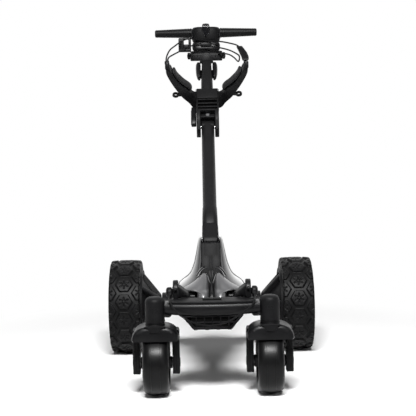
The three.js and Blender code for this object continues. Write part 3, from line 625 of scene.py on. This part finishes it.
# ----------------------------------------------------------------- casters
for side, k in (("L", -1), ("R", 1)):
    x, sy, wy = k * 156, -625, -590
    m = Mesh().lathe([(8.6, 206.0), (25.4, 206.0), (26.5, 207.2), (26.5, 262), (26.1, 266), (24.6, 270.5), (21.5, 274.3), (16, 277), (9, 278.3), (0.001, 278.6)][::-1] + [(0.001, 268), (8.6, 268)][0:0], "z", (x, sy, 0), 64) if False else Mesh()
    m.lathe([(0, 278.6), (9, 278.3), (16, 277), (21.5, 274.3), (24.6, 270.5), (26.1, 266), (26.5, 261), (26.5, 207.4), (25.4, 206.2), (9, 206.2), (9, 266), (0, 266)], "z", (x, sy, 0), 64)
    m.lathe([(26.2, 211), (27.0, 211.6), (27.0, 213.4), (26.2, 214)], "z", (x, sy, 0), 64)
    # small embossed frame on the front
    R = 26.6
    for (a0, a1, z0, z1) in ((-20, 20, 250, 251.6), (-20, 20, 242, 243.6), (-20, -17.5, 242, 251.6), (17.5, 20, 242, 251.6), (-9, -5, 244.8, 248.8), (5, 9, 244.8, 248.8)):
        rings = []
        for a in np.linspace(math.radians(a0), math.radians(a1), 7):
            s_, c_ = math.sin(a), -math.cos(a)
            rings.append([(x + (R - 0.6) * s_, sy + (R - 0.6) * c_, z0), (x + (R + 0.5) * s_, sy + (R + 0.5) * c_, z0), (x + (R + 0.5) * s_, sy + (R + 0.5) * c_, z1), (x + (R - 0.6) * s_, sy + (R - 0.6) * c_, z1)])
        m.loft(rings)
    piece(f"caster_post_shell_{side}", m, "dark", "chassis", f"caster_post_{side}")

    # fork: shouldered crown and two legs
    m = Mesh()
    ys = [-657, -655, -650, -636, -612, -590, -578, -573, -571]
    def sec(y):
        t = min(1, max(0, (y + 657) / 12))
        e = min(1, max(0, (-571 - y) / 8))
        s = math.sqrt(max(0.0, 1 - (1 - t) ** 2)) * 0.5 + 0.5
        s2 = math.sqrt(max(0.0, 1 - (1 - e) ** 2)) * 0.3 + 0.7
        g = min(s, s2)
        top = 176 + 25 * g
        u_ = 0.80 + 0.20 * g
        half = [(61 * u_, 160), (64 * u_, 164), (63.6 * u_, 170), (61 * u_, 178), (56.5 * u_, 185.5), (50 * u_, top - 9.4), (43 * u_, top - 5), (35 * u_, top - 2), (26 * u_, top)]
        out = [(-a_, b_) for a_, b_ in half] + half[::-1]
        return [(x + a, y, b_) for a, b_ in out]
    m.loft([sec(y) for y in ys])
    fork = piece(f"fork_{side}", m, "satin", f"caster_{side}", f"caster_fork_{side}", angle=32)
    wcut = Mesh().lathe([(0, x - 44.6), (94, x - 44.6), (95, x - 40), (95, x + 40), (94, x + 44.6), (0, x + 44.6)], "x", (0, wy, 90), 64)
    notches = []
    for q in (-1, 1):
        for dx, zz in ((59.5, 190.5), (55.0, 195.5)):
            notches.append(Mesh().box(-1.6, 1.6, -648, -612, -9, 9, 0, tf=lambda a, b_, c_, q=q, dx=dx, zz=zz: (x + q * (dx + a * 0.8 - c_ * 0.45), b_, zz + c_ * 0.75 + a * 0.5)))
    subtract(fork, wcut, *notches[::2])
    smooth(fork.data, 35)
    m = Mesh()
    for q in (-1, 1):
        a, b_ = (44.7, 64.0)
        rings = []
        for z, y0, y1 in ((61, -606, -574), (62.5, -609, -571), (66, -611.5, -568.5), (90, -612, -568), (120, -612, -568), (150, -613, -567), (176, -616, -566), (184, -616, -568)):
            i = 1.6 if z > 61 else 3.0
            A, B = (a, b_) if z < 180 else (a, b_ - 2)
            rings.append([(x + q * (A + 0), y0 + i, z), (x + q * (A + 1.4), y0, z), (x + q * (B - 3), y0, z), (x + q * B, y0 + 3, z), (x + q * B, y1 - 3, z), (x + q * (B - 3), y1, z), (x + q * (A + 1.4), y1, z), (x + q * A, y1 - i, z)])
        m.loft(rings)
        # raised rib and slot down the front of each leg
        m.box(x + q * 51 - 1.2, x + q * 51 + 1.2, -614, -611, 72, 168, 0.7)
        m.box(x + q * 58 - 1.2, x + q * 58 + 1.2, -614, -611, 72, 168, 0.7)
        m.lathe([(0, x + q * 63.5), (13, x + q * 63.5), (13, x + q * 64.6), (11, x + q * 65.4), (0, x + q * 65.4)], "x", (0, wy, 90), 36)
    m.lathe([(8.3, 199), (25.6, 199), (27, 200.4), (27, 203.6), (26.2, 205.4), (8.3, 205.4)], "z", (x, sy, 0), 64)
    m.lathe([(0, 198), (8, 198), (8, 262), (0, 262)], "z", (x, sy, 0), 24)
    m.slab([(x - 30, 201), (x - 18, 196), (x - 12, 184), (x + 12, 184), (x + 18, 196), (x + 30, 201), (x + 22, 203), (x - 22, 203)], -659.5, -654, "y", 1.2)
    piece(f"fork_legs_{side}", m, "matte", f"caster_{side}")
    m = Mesh().lathe([(0, x - 62.5), (7.8, x - 62.5), (7.8, x + 62.5), (0, x + 62.5)], "x", (0, wy, 90), 32)
    piece(f"axle_bolt_{side}", m, "steel", f"caster_{side}", f"caster_axle_{side}")
    prof = []
    for xx, r in ((-34, 62.4), (-35.3, 66), (-35.5, 74), (-34.6, 78), (-32.5, 81.6), (-29, 84.6), (-24, 87), (-18, 88.4), (-13.4, 89.0), (-12.8, 89.0), (-12.2, 89.9), (-11, 90), (11, 90), (12.2, 89.9), (12.8, 89.0), (13.4, 89.0), (18, 88.4), (24, 87), (29, 84.6), (32.5, 81.6), (34.6, 78), (35.5, 74), (35.3, 66), (34, 62.4)):
        prof.append((r, x + xx))
    piece(f"caster_tread_{side}", Mesh().lathe(prof, "x", (0, wy, 90), 96), "caster", f"caster_wheel_{side}", f"caster_tyre_{side}", angle=50)
    m = Mesh().lathe([(8.4, x - 43.5), (15, x - 43.5), (16.5, x - 42), (18, x - 30), (24, x - 27), (50, x - 24), (58, x - 30), (62, x - 31), (62, x + 31), (58, x + 30), (50, x + 24), (24, x + 27), (18, x + 30), (16.5, x + 42), (15, x + 43.5), (8.4, x + 43.5)], "x", (0, wy, 90), 60)
    for q in (-1, 1):
        for i in range(5):
            t = math.radians(i * 72 + 18)
            at = lambda r, w, xx: (x + q * xx, wy + math.cos(t) * r - math.sin(t) * w, 90 + math.sin(t) * r + math.cos(t) * w)
            m.loft([[at(r, -w, 22), at(r, -w, h), at(r, w, h), at(r, w, 22)] for r, w, h in ((17, 8, 31), (36, 6, 30), (60, 8, 31.5))])
    piece(f"caster_wheel_rim_{side}", m, "matte", f"caster_wheel_{side}", f"caster_rim_{side}")

# --------------------------------------------------------- lower bag arms
for side, k in (("L", -1), ("R", 1)):
    m = Mesh()
    prof = [(-582, 264), (-583, 282), (-578, 296), (-570, 306), (-560, 312), (-550, 312), (-543, 306), (-540, 296), (-540, 264)]
    m.slab(prof, min(k * 93, k * 108), max(k * 93, k * 108), "x", 3, 3)
    rings = []
    for xx, y0, y1, z0, z1 in ((95, -579, -541, 265, 300), (92, -578, -540, 265, 300), (84, -572, -538, 265, 294), (74, -562, -536, 265, 285), (67, -556, -535, 265.4, 279), (66, -553, -537, 266.4, 277)):
        b_ = 3
        rings.append([(k * xx, y0 + b_, z0), (k * xx, y1 - b_, z0), (k * xx, y1, z0 + b_), (k * xx, y1, z1 - b_), (k * xx, y1 - b_, z1), (k * xx, y0 + b_, z1 - 3), (k * xx, y0, z1 - 6), (k * xx, y0, z0 + b_)])
    m.loft(rings)
    piece(f"bag_rest_{side}", m, "satin", "chassis", f"bag_arm_{side}")
    m = Mesh().lathe([(0, k * 108.4), (8, k * 108.4), (9, k * 110), (13.6, k * 112), (14.4, k * 114), (14.4, k * 121), (13, k * 124.4), (8.6, k * 127), (0, k * 127.4)], "x", (0, -564, 280), 36)
    m.lathe([(0, k * 96), (5, k * 96), (6.5, k * 99), (6.5, k * 103), (0, k * 106)], "x", (0, -584, 290), 20)
    m.slab([(-584, 268), (-586, 276), (-580, 282), (-570, 282), (-568, 272), (-574, 266.2)], min(k * 111, k * 122), max(k * 111, k * 122), "x", 2, 2)
    piece(f"cord_knob_{side}", m, "matte", "chassis", f"bag_knob_{side}")

# -------------------------------------------------------------------- stem
def stem_loft(rows, n=40, p=3.2):
    return [[S(*q) for q in ring(0, y, t, rx, ry, p, n)] for t, y, rx, ry in rows]


m = Mesh().loft(stem_loft([(-31, 0, 19, 19), (-29.5, 0, 22.5, 22.5), (-25, 0, 24.6, 24.6), (-18, 0, 25.5, 25.5), (12, 0, 25.5, 25.5), (13, 0, 24.6, 24.6), (14.4, 0, 24.6, 24.6), (15.4, 0, 25.4, 25.4), (27, 0, 25.2, 25.2), (28, 0, 24.4, 24.4)]))
m.lathe([(0, -25.5), (24, -25.5), (25, -24.5), (25, 24.5), (24, 25.5), (0, 25.5)], "x", (0, PY, PZ), 48)
boot = [(-25, 26), (-26.4, 10), (-27.4, -12), (-29.4, -28), (-29.8, -38), (-26.6, -44), (-21.6, -45), (-19, -40), (-18, 20), (-22, 26)]
m.slab(boot, -23, 23, "x", 4, 3, tf=S)
piece("stem_collar", m, "matte", "stem_lower", "stem_sleeve")
rows = [(28.2, 0, 23.6, 23.6), (30, 0, 24.3, 24.3), (60, 0, 24.2, 24.2), (96, 0, 23.2, 23.2), (98, 0, 22.0, 22.0), (420, 0, 21.5, 21.2), (443, 0, 21.5, 21)]
m = Mesh().loft(stem_loft(rows))
m.lathe([(0, -21.4), (20, -21.4), (21, -20), (21, 20), (20, 21.4), (0, 21.4)], "x", S(0, 0, 443), 48)
piece("stem_tube_lower", m, "tube", "stem_lower", "lower_tube")

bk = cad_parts
m = Mesh()
for k in (-1, 1):
    prof = [(-26, 412.4), (6, 412), (18, 413), (30, 424), (30, 484), (-48, 484), (-48, 446), (-42, 437)]
    m.slab(prof, min(k * 24.2, k * 38), max(k * 24.2, k * 38), "x", 2.0, 2, tf=S)
    m.box(min(k * 32, k * 38), max(k * 32, k * 38), -48, 30, 482, 531.4, 1.8, tf=S)
m.box(-25, 25, -26, 29.6, 465.8, 484, 1.2, tf=S)
m.box(-33, 33, -34, 29.6, 482, 531, 1.0, tf=S)
for t in (497, 513):
    m.box(-33, 33, -45, -33, t - 2.6, t + 2.6, 1.2, tf=S)
m.box(-33, 33, -47, -33, 526.5, 531.4, 1.2, tf=S)
m.box(-26, 26, -40, -30, 486, 492, 1.2, tf=S)
m.box(-33, 33, -47.6, -26, 478, 485, 1.4, tf=S)
hb = piece("hinge_housing", m, "matte", "stem_upper", "hinge_block")
m = Mesh().box(-6, 6, -32, -21.6, 467.6, 477, 1.6, tf=S)
piece("fold_button", m, "grey", "button", "release_button")
m = Mesh()
m.slab([(-11, 451), (-15, 460), (-15.4, 480), (-13, 516), (-8, 527), (8, 527), (12, 518), (12, 462), (7, 451)], -56, -39, "x", 3.2, 3, tf=S)
for y in (-8.5, -3, 2.5, 8):
    m.box(-57.2, -54, y - 1.1, y + 1.1, 460, 512, 0.8, tf=S)
piece("fold_lever", m, "satin", "latch", "latch_lever")
m = Mesh().lathe([(0, -38.3), (6, -38.3), (6, 38.3), (0, 38.3)], "x", S(0, 0, 443), 32)
piece("fold_pin", m, "steel", "stem_lower", "hinge_pin")
m = Mesh().lathe([(0, -30), (6, -30), (6, 30), (0, 30)], "x", (0, PY, PZ), 32)
piece("base_pin", m, "steel", "chassis", "stem_base_pin")

# cradle block: flat matte face with a seam near each side
m = Mesh().box(-36.6, 36.6, -50, 30, 532.2, 576, 2.4, tf=S)
m.box(-39.2, -37.2, -47.5, 29, 533, 574.5, 0.8, tf=S)
m.box(37.2, 39.2, -47.5, 29, 533, 574.5, 0.8, tf=S)
m.box(-40, 40, -40, 24, 535, 572, 0.5, tf=S)
m.box(-21, 21, -21, 21, 575, 579.5, 1.6, tf=S)
piece("cradle_centre", m, "dark", "stem_upper", "cradle_block")

OUT = [[39.2, -14], [50, -9], [62, 12], [85, 40], [103, 73], [120, 109], [135, 150], [137, 172]]
INN = [[39.2, 38], [47, 40], [56, 50], [68, 69], [87, 87], [104, 112], [115, 139], [121, 158]]
for side, k in (("L", -1), ("R", 1)):
    o, _ = spline([[a, b_, 0] for a, b_ in OUT], 30)
    q, _ = spline([[a, b_, 0] for a, b_ in INN], 30)
    secs = []
    for i in range(30):
        u = i / 29
        t0, t1 = 538 + 8.4 * u, 574 + 15.4 * u
        if u > 0.93:
            e = (u - 0.93) / 0.07
            t0, t1 = t0 + 5 * e * e, t1 - 5 * e * e
        a, c_ = o[i], q[i]
        w = c_ - a
        pts = [(a + w * 0.06, t0), (a, t0 + 3), (a, t0 + 16), (a + w * 0.1, t0 + 23), (a + w * 0.55, t1 - 2.5), (a + w * 0.66, t1), (a + w * 0.94, t1), (a + w, t1 - 2), (a + w, t0 + 12), (a + w * 0.9, t0 + 9)]
        secs.append([S(k * p_[0], -p_[1], t) for p_, t in pts])
    m = Mesh().loft(secs)
    m.lathe([(5.2, 549.6), (6.2, 549), (10.4, 549), (11.4, 550), (11.4, 556), (10.4, 557), (6.2, 557), (5.2, 556.4)], "z", (k * 108, -44, 0), 36, tf=S)
    m.slab([(k * 74, -40), (k * 98, -38), (k * 99, -50), (k * 84, -56)], 550, 556, "z", 0.8, tf=S)
    m.box(min(k * 124, k * 139), max(k * 124, k * 139), 24, 52, 936, 960.4 if k > 0 else 961.6, 4)
    piece(f"cradle_wing_{side}", m, "satin", "stem_upper", f"cradle_arm_{side}", angle=36)
    # soft pad on the inner face, crowned, with a rounded lower end
    pin, _ = spline([[56, 51, 0], [61, 60, 0], [68, 70, 0], [80, 81, 0], [93, 97, 0], [104.4, 113, 0], [112, 129, 0], [116.6, 146, 0]], 26)
    secs = []
    for i in range(26):
        u = i / 25
        d = pin[min(25, i + 1)] - pin[max(0, i - 1)]
        d /= np.linalg.norm(d)
        nn = np.array([-d[1], d[0], 0])
        e = min(1, u / 0.09, (1 - u) / 0.06)
        e = math.sqrt(max(0.02, 1 - (1 - e) ** 2))
        th = 9.5 * e
        c0, c1 = 571 - 15 * e + 2 * u, 571 + 16 * e + 6 * u
        base = pin[i] + nn * 0.5
        pts = [(base, c0), (base + nn * th * 0.55, c0 + 1.0), (base + nn * th * 0.92, c0 + 5), (base + nn * th * 1.05, (c0 + c1) / 2), (base + nn * th * 0.92, c1 - 5), (base + nn * th * 0.55, c1 - 1.0), (base, c1)]
        secs.append([S(k * p_[0], -p_[1], t) for p_, t in pts])
    pd = piece(f"wing_pad_{side}", Mesh().loft(secs), "pad", "stem_upper", f"cradle_pad_{side}", angle=60, subsurf=1)

# upper tube with its slide lock
m = Mesh().loft(stem_loft([(576.6, 0, 20, 20), (579, 0, 21, 21), (650, 0, 20.4, 20.4), (690, 0, 18.6, 18.6), (725, 0, 17.4, 17.4), (750, 0, 17, 17), (760, 0, 16.2, 16.2), (766, 0, 14.2, 14.2), (770, 0, 10.5, 10.5), (771.5, 0, 5, 5)]))
piece("stem_tube_upper", m, "tube", "stem_upper", "upper_tube")
m = Mesh()
for k in (-1, 1):
    m.loft([[S(*q) for q in ring(k * x_, 0, t, rx, ry, 2.5, 28)] for t, x_, rx, ry in ((667, 26.6, 2.5, 6), (669, 27, 4.4, 10), (675, 28, 6, 12.5), (690, 29.6, 8, 14.6), (712, 30, 8.8, 15), (728, 29.6, 8.8, 14.4), (738, 28.4, 7, 12), (742, 27.6, 4.5, 7))])
m.box(-28, 28, 18.4, 24, 690, 730, 2, tf=S)
piece("slide_lock", m, "satin", "stem_upper", "upper_sleeve")

# --------------------------------------------------------- handle bracket
m = Mesh().box(-57, 57, 280, 314, 986, 1004, 2.5)
m.lathe([(5.6, -57), (15.6, -57), (17, -55.6), (17, 55.6), (15.6, 57), (5.6, 57)], "x", (0, 297, 1003), 48)
for r_, y0, y1, zc, zb in ((24, 273, 281, 988, 974), (17.5, 266, 276, 988, 972)):
    arch = [(r_ * math.cos(a), zc + r_ * math.sin(a)) for a in np.linspace(0, math.pi, 17)] + [(-r_, zb), (r_, zb)]
    m.slab(arch, y0, y1, "y", 1.6, 2)
for x in (-49, -41, -33, 33, 41, 49):
    m.lathe([(16.5, x - 2), (18.2, x - 1.4), (18.2, x + 1.4), (16.5, x + 2)], "x", (0, 297, 1003), 40)
piece("head_bracket", m, "matte", "stem_upper", "handle_bracket")
for side, k in (("L", -1), ("R", 1)):
    m = Mesh()
    rings = []
    for xx, s_ in ((57.4, 0.86), (58.4, 0.97), (60, 1), (64.6, 1), (66.6, 0.93), (67.4, 0.8)):
        rings.append([(k * xx, 297 + s_ * (10.6 + 1.5 * math.cos(8 * a)) * math.cos(a), 1003 + s_ * (10.6 + 1.5 * math.cos(8 * a)) * math.sin(a)) for a in np.linspace(0, 2 * math.pi, 64, endpoint=False)])
    m.loft(rings)
    m.lathe([(0, k * 66), (6, k * 66), (6, k * 68), (5, k * 68.8), (0, k * 68.8)], "x", (0, 297, 1003), 28)
    m.lathe([(0, k * 20), (5, k * 20), (5, k * 59), (0, k * 59)], "x", (0, 297, 1003), 24)
    piece(f"star_knob_{side}", m, "matte", f"knob_{side}", f"side_knob_{side}")

m = Mesh().loft([ring(0, y, z, rx, ry, 4, 48) for z, y, rx, ry in ((1020.9, 312, 43, 18), (1022, 312.4, 46, 20.5), (1028, 314, 49.4, 23.4), (1033, 316, 50.4, 24.6), (1043, 320, 50.4, 26.8), (1048, 322, 49, 27.6), (1051.6, 323.6, 46.5, 27.6), (1052.6, 324, 44, 26))])
m.slab([(-17, 1034), (-20, 1037), (-20, 1047), (-17, 1050), (17, 1050), (20, 1047), (20, 1037), (17, 1034)], 288.6, 294, "y", 0.9)
piece("handle_neck", m, "satin", "handle", "neck")

m = Mesh().loft([ring(0, y, z, rx, ry, 3.6, 56) for z, y, rx, ry in ((1053.3, 350, 41, 36), (1054.6, 350, 44.4, 39), (1060, 352, 48.6, 44.6), (1067, 354, 51, 48), (1096, 354, 51.4, 50), (1103, 354.6, 50, 49), (1107, 355.4, 47, 46), (1108.4, 356, 43, 41.5))])
con = piece("console_shell", m, "dark", "handle", "console", angle=40)
subtract(con, Mesh().lathe([(0, 1099), (13.8, 1099), (13.8, 1130), (0, 1130)], "z", (0, 326, 0), 48), Mesh().box(-40.2, -27.2, 361.8, 378.2, 1100.5, 1120, 0))
smooth(con.data, 40)
m = Mesh().slab([(0, 1069), (-4, 1073), (-13, 1088), (-16, 1096), (-15, 1106), (-12, 1110), (12, 1110), (15, 1106), (16, 1096), (13, 1088), (4, 1073)], 300.6, 312, "y", 1.8, 3)
for k in (-1, 1):
    m.box(k * 49 - 3, k * 49 + 3, 318, 392, 1066, 1102, 2.4)
piece("console_shield", m, "gloss", "handle")
m = Mesh()
rings = []
for z, s_ in ((1099.6, 1.0), (1113.5, 1.0), (1117, 0.94), (1119.6, 0.82), (1120.4, 0.6)):
    rings.append([(s_ * (12.7 + 0.5 * math.cos(18 * a)) * math.cos(a), 326 + s_ * (12.7 + 0.5 * math.cos(18 * a)) * math.sin(a), z) for a in np.linspace(0, 2 * math.pi, 108, endpoint=False)])
m.loft(rings)
m.box(-1, 1, 315.5, 325, 1119.4, 1120.9, 0.4)
piece("dial_knob", m, "satin", "dial", "speed_dial")
m = Mesh().box(-39.4, -28, 362.6, 377.4, 1103.4, 1110.6, 2, 3)
piece("power_key", m, "grey", "power", "power_button")
for side, k in (("L", -1), ("R", 1)):
    prof = [(0, k * 51), (15.5, k * 51), (17.6, k * 52.5), (17.6, k * 57), (16.2, k * 58), (16.2, k * 60), (17.2, k * 61)]
    xx = 63.0
    while xx < 176:
        r = 17.1 - (xx - 60) / 116 * 3.6
        prof += [(r, k * xx), (r, k * (xx + 3.4)), (r - 0.55, k * (xx + 3.9)), (r - 0.55, k * (xx + 5.1)), (r, k * (xx + 5.6))]
        xx += 6.2
    prof += [(13.6, k * 178), (13.4, k * 181), (12, k * 184), (9, k * 185), (0, k * 185)]
    piece(f"hand_grip_{side}", Mesh().lathe(prof, "x", (0, 352, 1090), 40), "grip", "handle", f"grip_{side}")

# ------------------------------------------------ strap slider and buckle
def along(path, i):
    p = np.array(path)
    return p[i]


m = Mesh()
m.box(-96, -54, 205, 221, 1053, 1058, 1.8)
m.box(-96, -54, 205, 221, 1010, 1020, 2.4)
m.box(-97, -78, 205.5, 220.5, 1012, 1055, 2.4)
m.box(-62, -53, 205.5, 220.5, 1012, 1056, 2.4)
m.box(-79, -61, 206, 220, 1017, 1036, 2)
sl = piece("slider_clip", m, "satin", "stem_upper", "strap_slider")
m = Mesh()
rings = []
for x0, x1, y0, y1, z in ((124, 136, 31, 50, 961.9), (119.5, 139.5, 28, 54, 964), (118, 140.4, 30, 57, 969), (116.6, 140, 35, 60, 976), (110.4, 135, 44, 66, 990), (105, 127, 51, 69, 1002), (100.8, 121, 58, 71, 1011), (102.4, 119.4, 60, 70, 1013)):
    rings.append([(x0 + 2, y0, z), (x1 - 2, y0, z), (x1, y0 + 2, z), (x1, y1 - 2, z), (x1 - 2, y1, z), (x0 + 2, y1, z), (x0, y1 - 2, z), (x0, y0 + 2, z)])
m.loft(rings)
piece("buckle_hook", m, "satin", "stem_upper", "strap_buckle")

# eyelets at the arm tips that the strap is tied to
for side, k, pts in (("L", -1, ((-135, 33, 961.5), (-130, 35, 962.5))), ("R", 1, ((128, 40, 958), (134, 38, 955)))):
    m = Mesh()
    for x, y, z in pts:
        m.lathe([(0, z - 7), (4.6, z - 7), (5.2, z - 5.6), (5.2, z + 1), (4.4, z + 3.4), (0, z + 4)], "z", (x, y, 0), 20)
    piece(f"strap_anchor_{side}", m, "matte", "stem_upper")
# ------------------------------------------------------ leftover CAD nodes
left = {"motor": "steel", "drive_shaft": "steel"}
for nm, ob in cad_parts.items():
    if ob.hide_render:
        continue
    for key, mt in left.items():
        if nm.startswith(key):
            ob.data.materials.clear()
            ob.data.materials.append(M[mt])

# ------------------------------------------------------------------- stage
WORLD_FRONT, WORLD_BACK = 0.04, 1.35


def stage_mesh(name, v, f, mat):
    me = C.meshes.new(name)
    me.from_pydata(v, [], f)
    for p in me.polygons:
        p.use_smooth = True
    ob = C.objects.new(name, me)
    scene.collection.objects.link(ob)
    me.materials.append(mat)
    return ob


floor_mat = node_mat("studio_floor", (0.92, 0.92, 0.92), 0.75, grain=200, bump=0.02, var=0.006, vscale=2, spec=0.2)
# seen in a reflection, the floor in front of the object is dim, as in a studio with a dark front
nt = floor_mat.node_tree
fn, fl = nt.nodes, nt.links
fbs, fout = fn["Principled BSDF"], fn["Material Output"]
dim = fn.new("ShaderNodeBsdfDiffuse")
dim.inputs["Color"].default_value = (0.05, 0.05, 0.05, 1)
lp = fn.new("ShaderNodeLightPath")
ftc = fn.new("ShaderNodeTexCoord")
fsep = fn.new("ShaderNodeSeparateXYZ")
fmr = fn.new("ShaderNodeMapRange")
fmr.inputs["From Min"].default_value, fmr.inputs["From Max"].default_value = -0.5, -1.6
fmul = fn.new("ShaderNodeMath")
fmul.operation = "MULTIPLY"
fmix = fn.new("ShaderNodeMixShader")
fl.new(ftc.outputs["Object"], fsep.inputs["Vector"])
fl.new(fsep.outputs["Y"], fmr.inputs["Value"])
fl.new(fmr.outputs["Result"], fmul.inputs[0])
fl.new(lp.outputs["Is Glossy Ray"], fmul.inputs[1])
fl.new(fmul.outputs["Value"], fmix.inputs["Fac"])
fl.new(fbs.outputs["BSDF"], fmix.inputs[1])
fl.new(dim.outputs["BSDF"], fmix.inputs[2])
# away from the object the backdrop floor fades to the white of the room
fem = fn.new("ShaderNodeEmission")
fem.inputs["Color"].default_value = (1, 1, 1, 1)
fem.inputs["Strength"].default_value = 1.0
fvl = fn.new("ShaderNodeVectorMath")
fvl.operation = "LENGTH"
fmr2 = fn.new("ShaderNodeMapRange")
fmr2.interpolation_type = "SMOOTHSTEP"
fmr2.inputs["From Min"].default_value, fmr2.inputs["From Max"].default_value = 0.6, 1.2
fmul2 = fn.new("ShaderNodeMath")
fmul2.operation = "MULTIPLY"
fmix2 = fn.new("ShaderNodeMixShader")
fl.new(ftc.outputs["Object"], fvl.inputs[0])
fl.new(fvl.outputs["Value"], fmr2.inputs["Value"])
fl.new(fmr2.outputs["Result"], fmul2.inputs[0])
fl.new(lp.outputs["Is Camera Ray"], fmul2.inputs[1])
fl.new(fmul2.outputs["Value"], fmix2.inputs["Fac"])
fl.new(fmix.outputs["Shader"], fmix2.inputs[1])
fl.new(fem.outputs["Emission"], fmix2.inputs[2])
fl.new(fmix2.outputs["Shader"], fout.inputs["Surface"])
stage_mesh("floor", [(-14, -14, 0), (14, -14, 0), (14, 14, 0), (-14, 14, 0)], [(0, 1, 2, 3)], floor_mat)

# white studio seen directly; as a light it is bright behind the object and dim in front
world = C.worlds.new("studio")
scene.world = world
world.use_nodes = True
wn, wl = world.node_tree.nodes, world.node_tree.links
bg = wn["Background"]
bg.inputs["Color"].default_value = (1, 1, 1, 1)
wtc = wn.new("ShaderNodeTexCoord")
wsep = wn.new("ShaderNodeSeparateXYZ")
wmr = wn.new("ShaderNodeMapRange")
wmr.interpolation_type = "SMOOTHSTEP"
wmr.inputs["From Min"].default_value, wmr.inputs["From Max"].default_value = -0.25, 0.6
wmr.inputs["To Min"].default_value, wmr.inputs["To Max"].default_value = WORLD_FRONT, WORLD_BACK
wlp = wn.new("ShaderNodeLightPath")
wmix = wn.new("ShaderNodeMix")
wmix.data_type = "FLOAT"
wl.new(wtc.outputs["Generated"], wsep.inputs["Vector"])
wl.new(wsep.outputs["Y"], wmr.inputs["Value"])
wl.new(wlp.outputs["Is Camera Ray"], wmix.inputs[0])
wdm = wn.new("ShaderNodeMapRange")
wdm.inputs["To Min"].default_value, wdm.inputs["To Max"].default_value = 1.0, 0.05
wmu = wn.new("ShaderNodeMath")
wmu.operation = "MULTIPLY"
wl.new(wlp.outputs["Is Diffuse Ray"], wdm.inputs["Value"])
wl.new(wmr.outputs["Result"], wmu.inputs[0])
wl.new(wdm.outputs["Result"], wmu.inputs[1])
wl.new(wmu.outputs["Value"], wmix.inputs[2])
wmix.inputs[3].default_value = 1.0
wl.new(wmix.outputs[0], bg.inputs["Strength"])


def area(name, loc, target, size, power, size_y=None):
    d = C.lights.new(name, "AREA")
    d.energy = power
    d.size = size
    if size_y:
        d.shape, d.size_y = "RECTANGLE", size_y
    o = C.objects.new(name, d)
    scene.collection.objects.link(o)
    o.location = loc
    o.rotation_euler = (Vector(target) - Vector(loc)).to_track_quat("-Z", "Y").to_euler()
    return o


area("key", (0.0, -3.05, 3.2), (0, -0.1, 0.2), 1.5, 330, 0.9)
area("strip_left", (-1.5, -3.2, 0.9), (0, -0.5, 0.2), 0.22, 3.2, 1.3)
area("strip_right", (1.5, -3.2, 0.9), (0, -0.5, 0.2), 0.22, 3.2, 1.3)
area("back", (0, 2.6, 2.2), (0, 0, 0.5), 2.2, 3, 1.2)
area("side_left", (-2.4, -0.2, 1.1), (0, -0.1, 0.35), 0.6, 3, 1.4)
area("side_right", (2.4, -0.2, 1.1), (0, -0.1, 0.35), 0.6, 3, 1.4)
scene.view_settings.view_transform = "Standard"
scene.view_settings.look = "None"
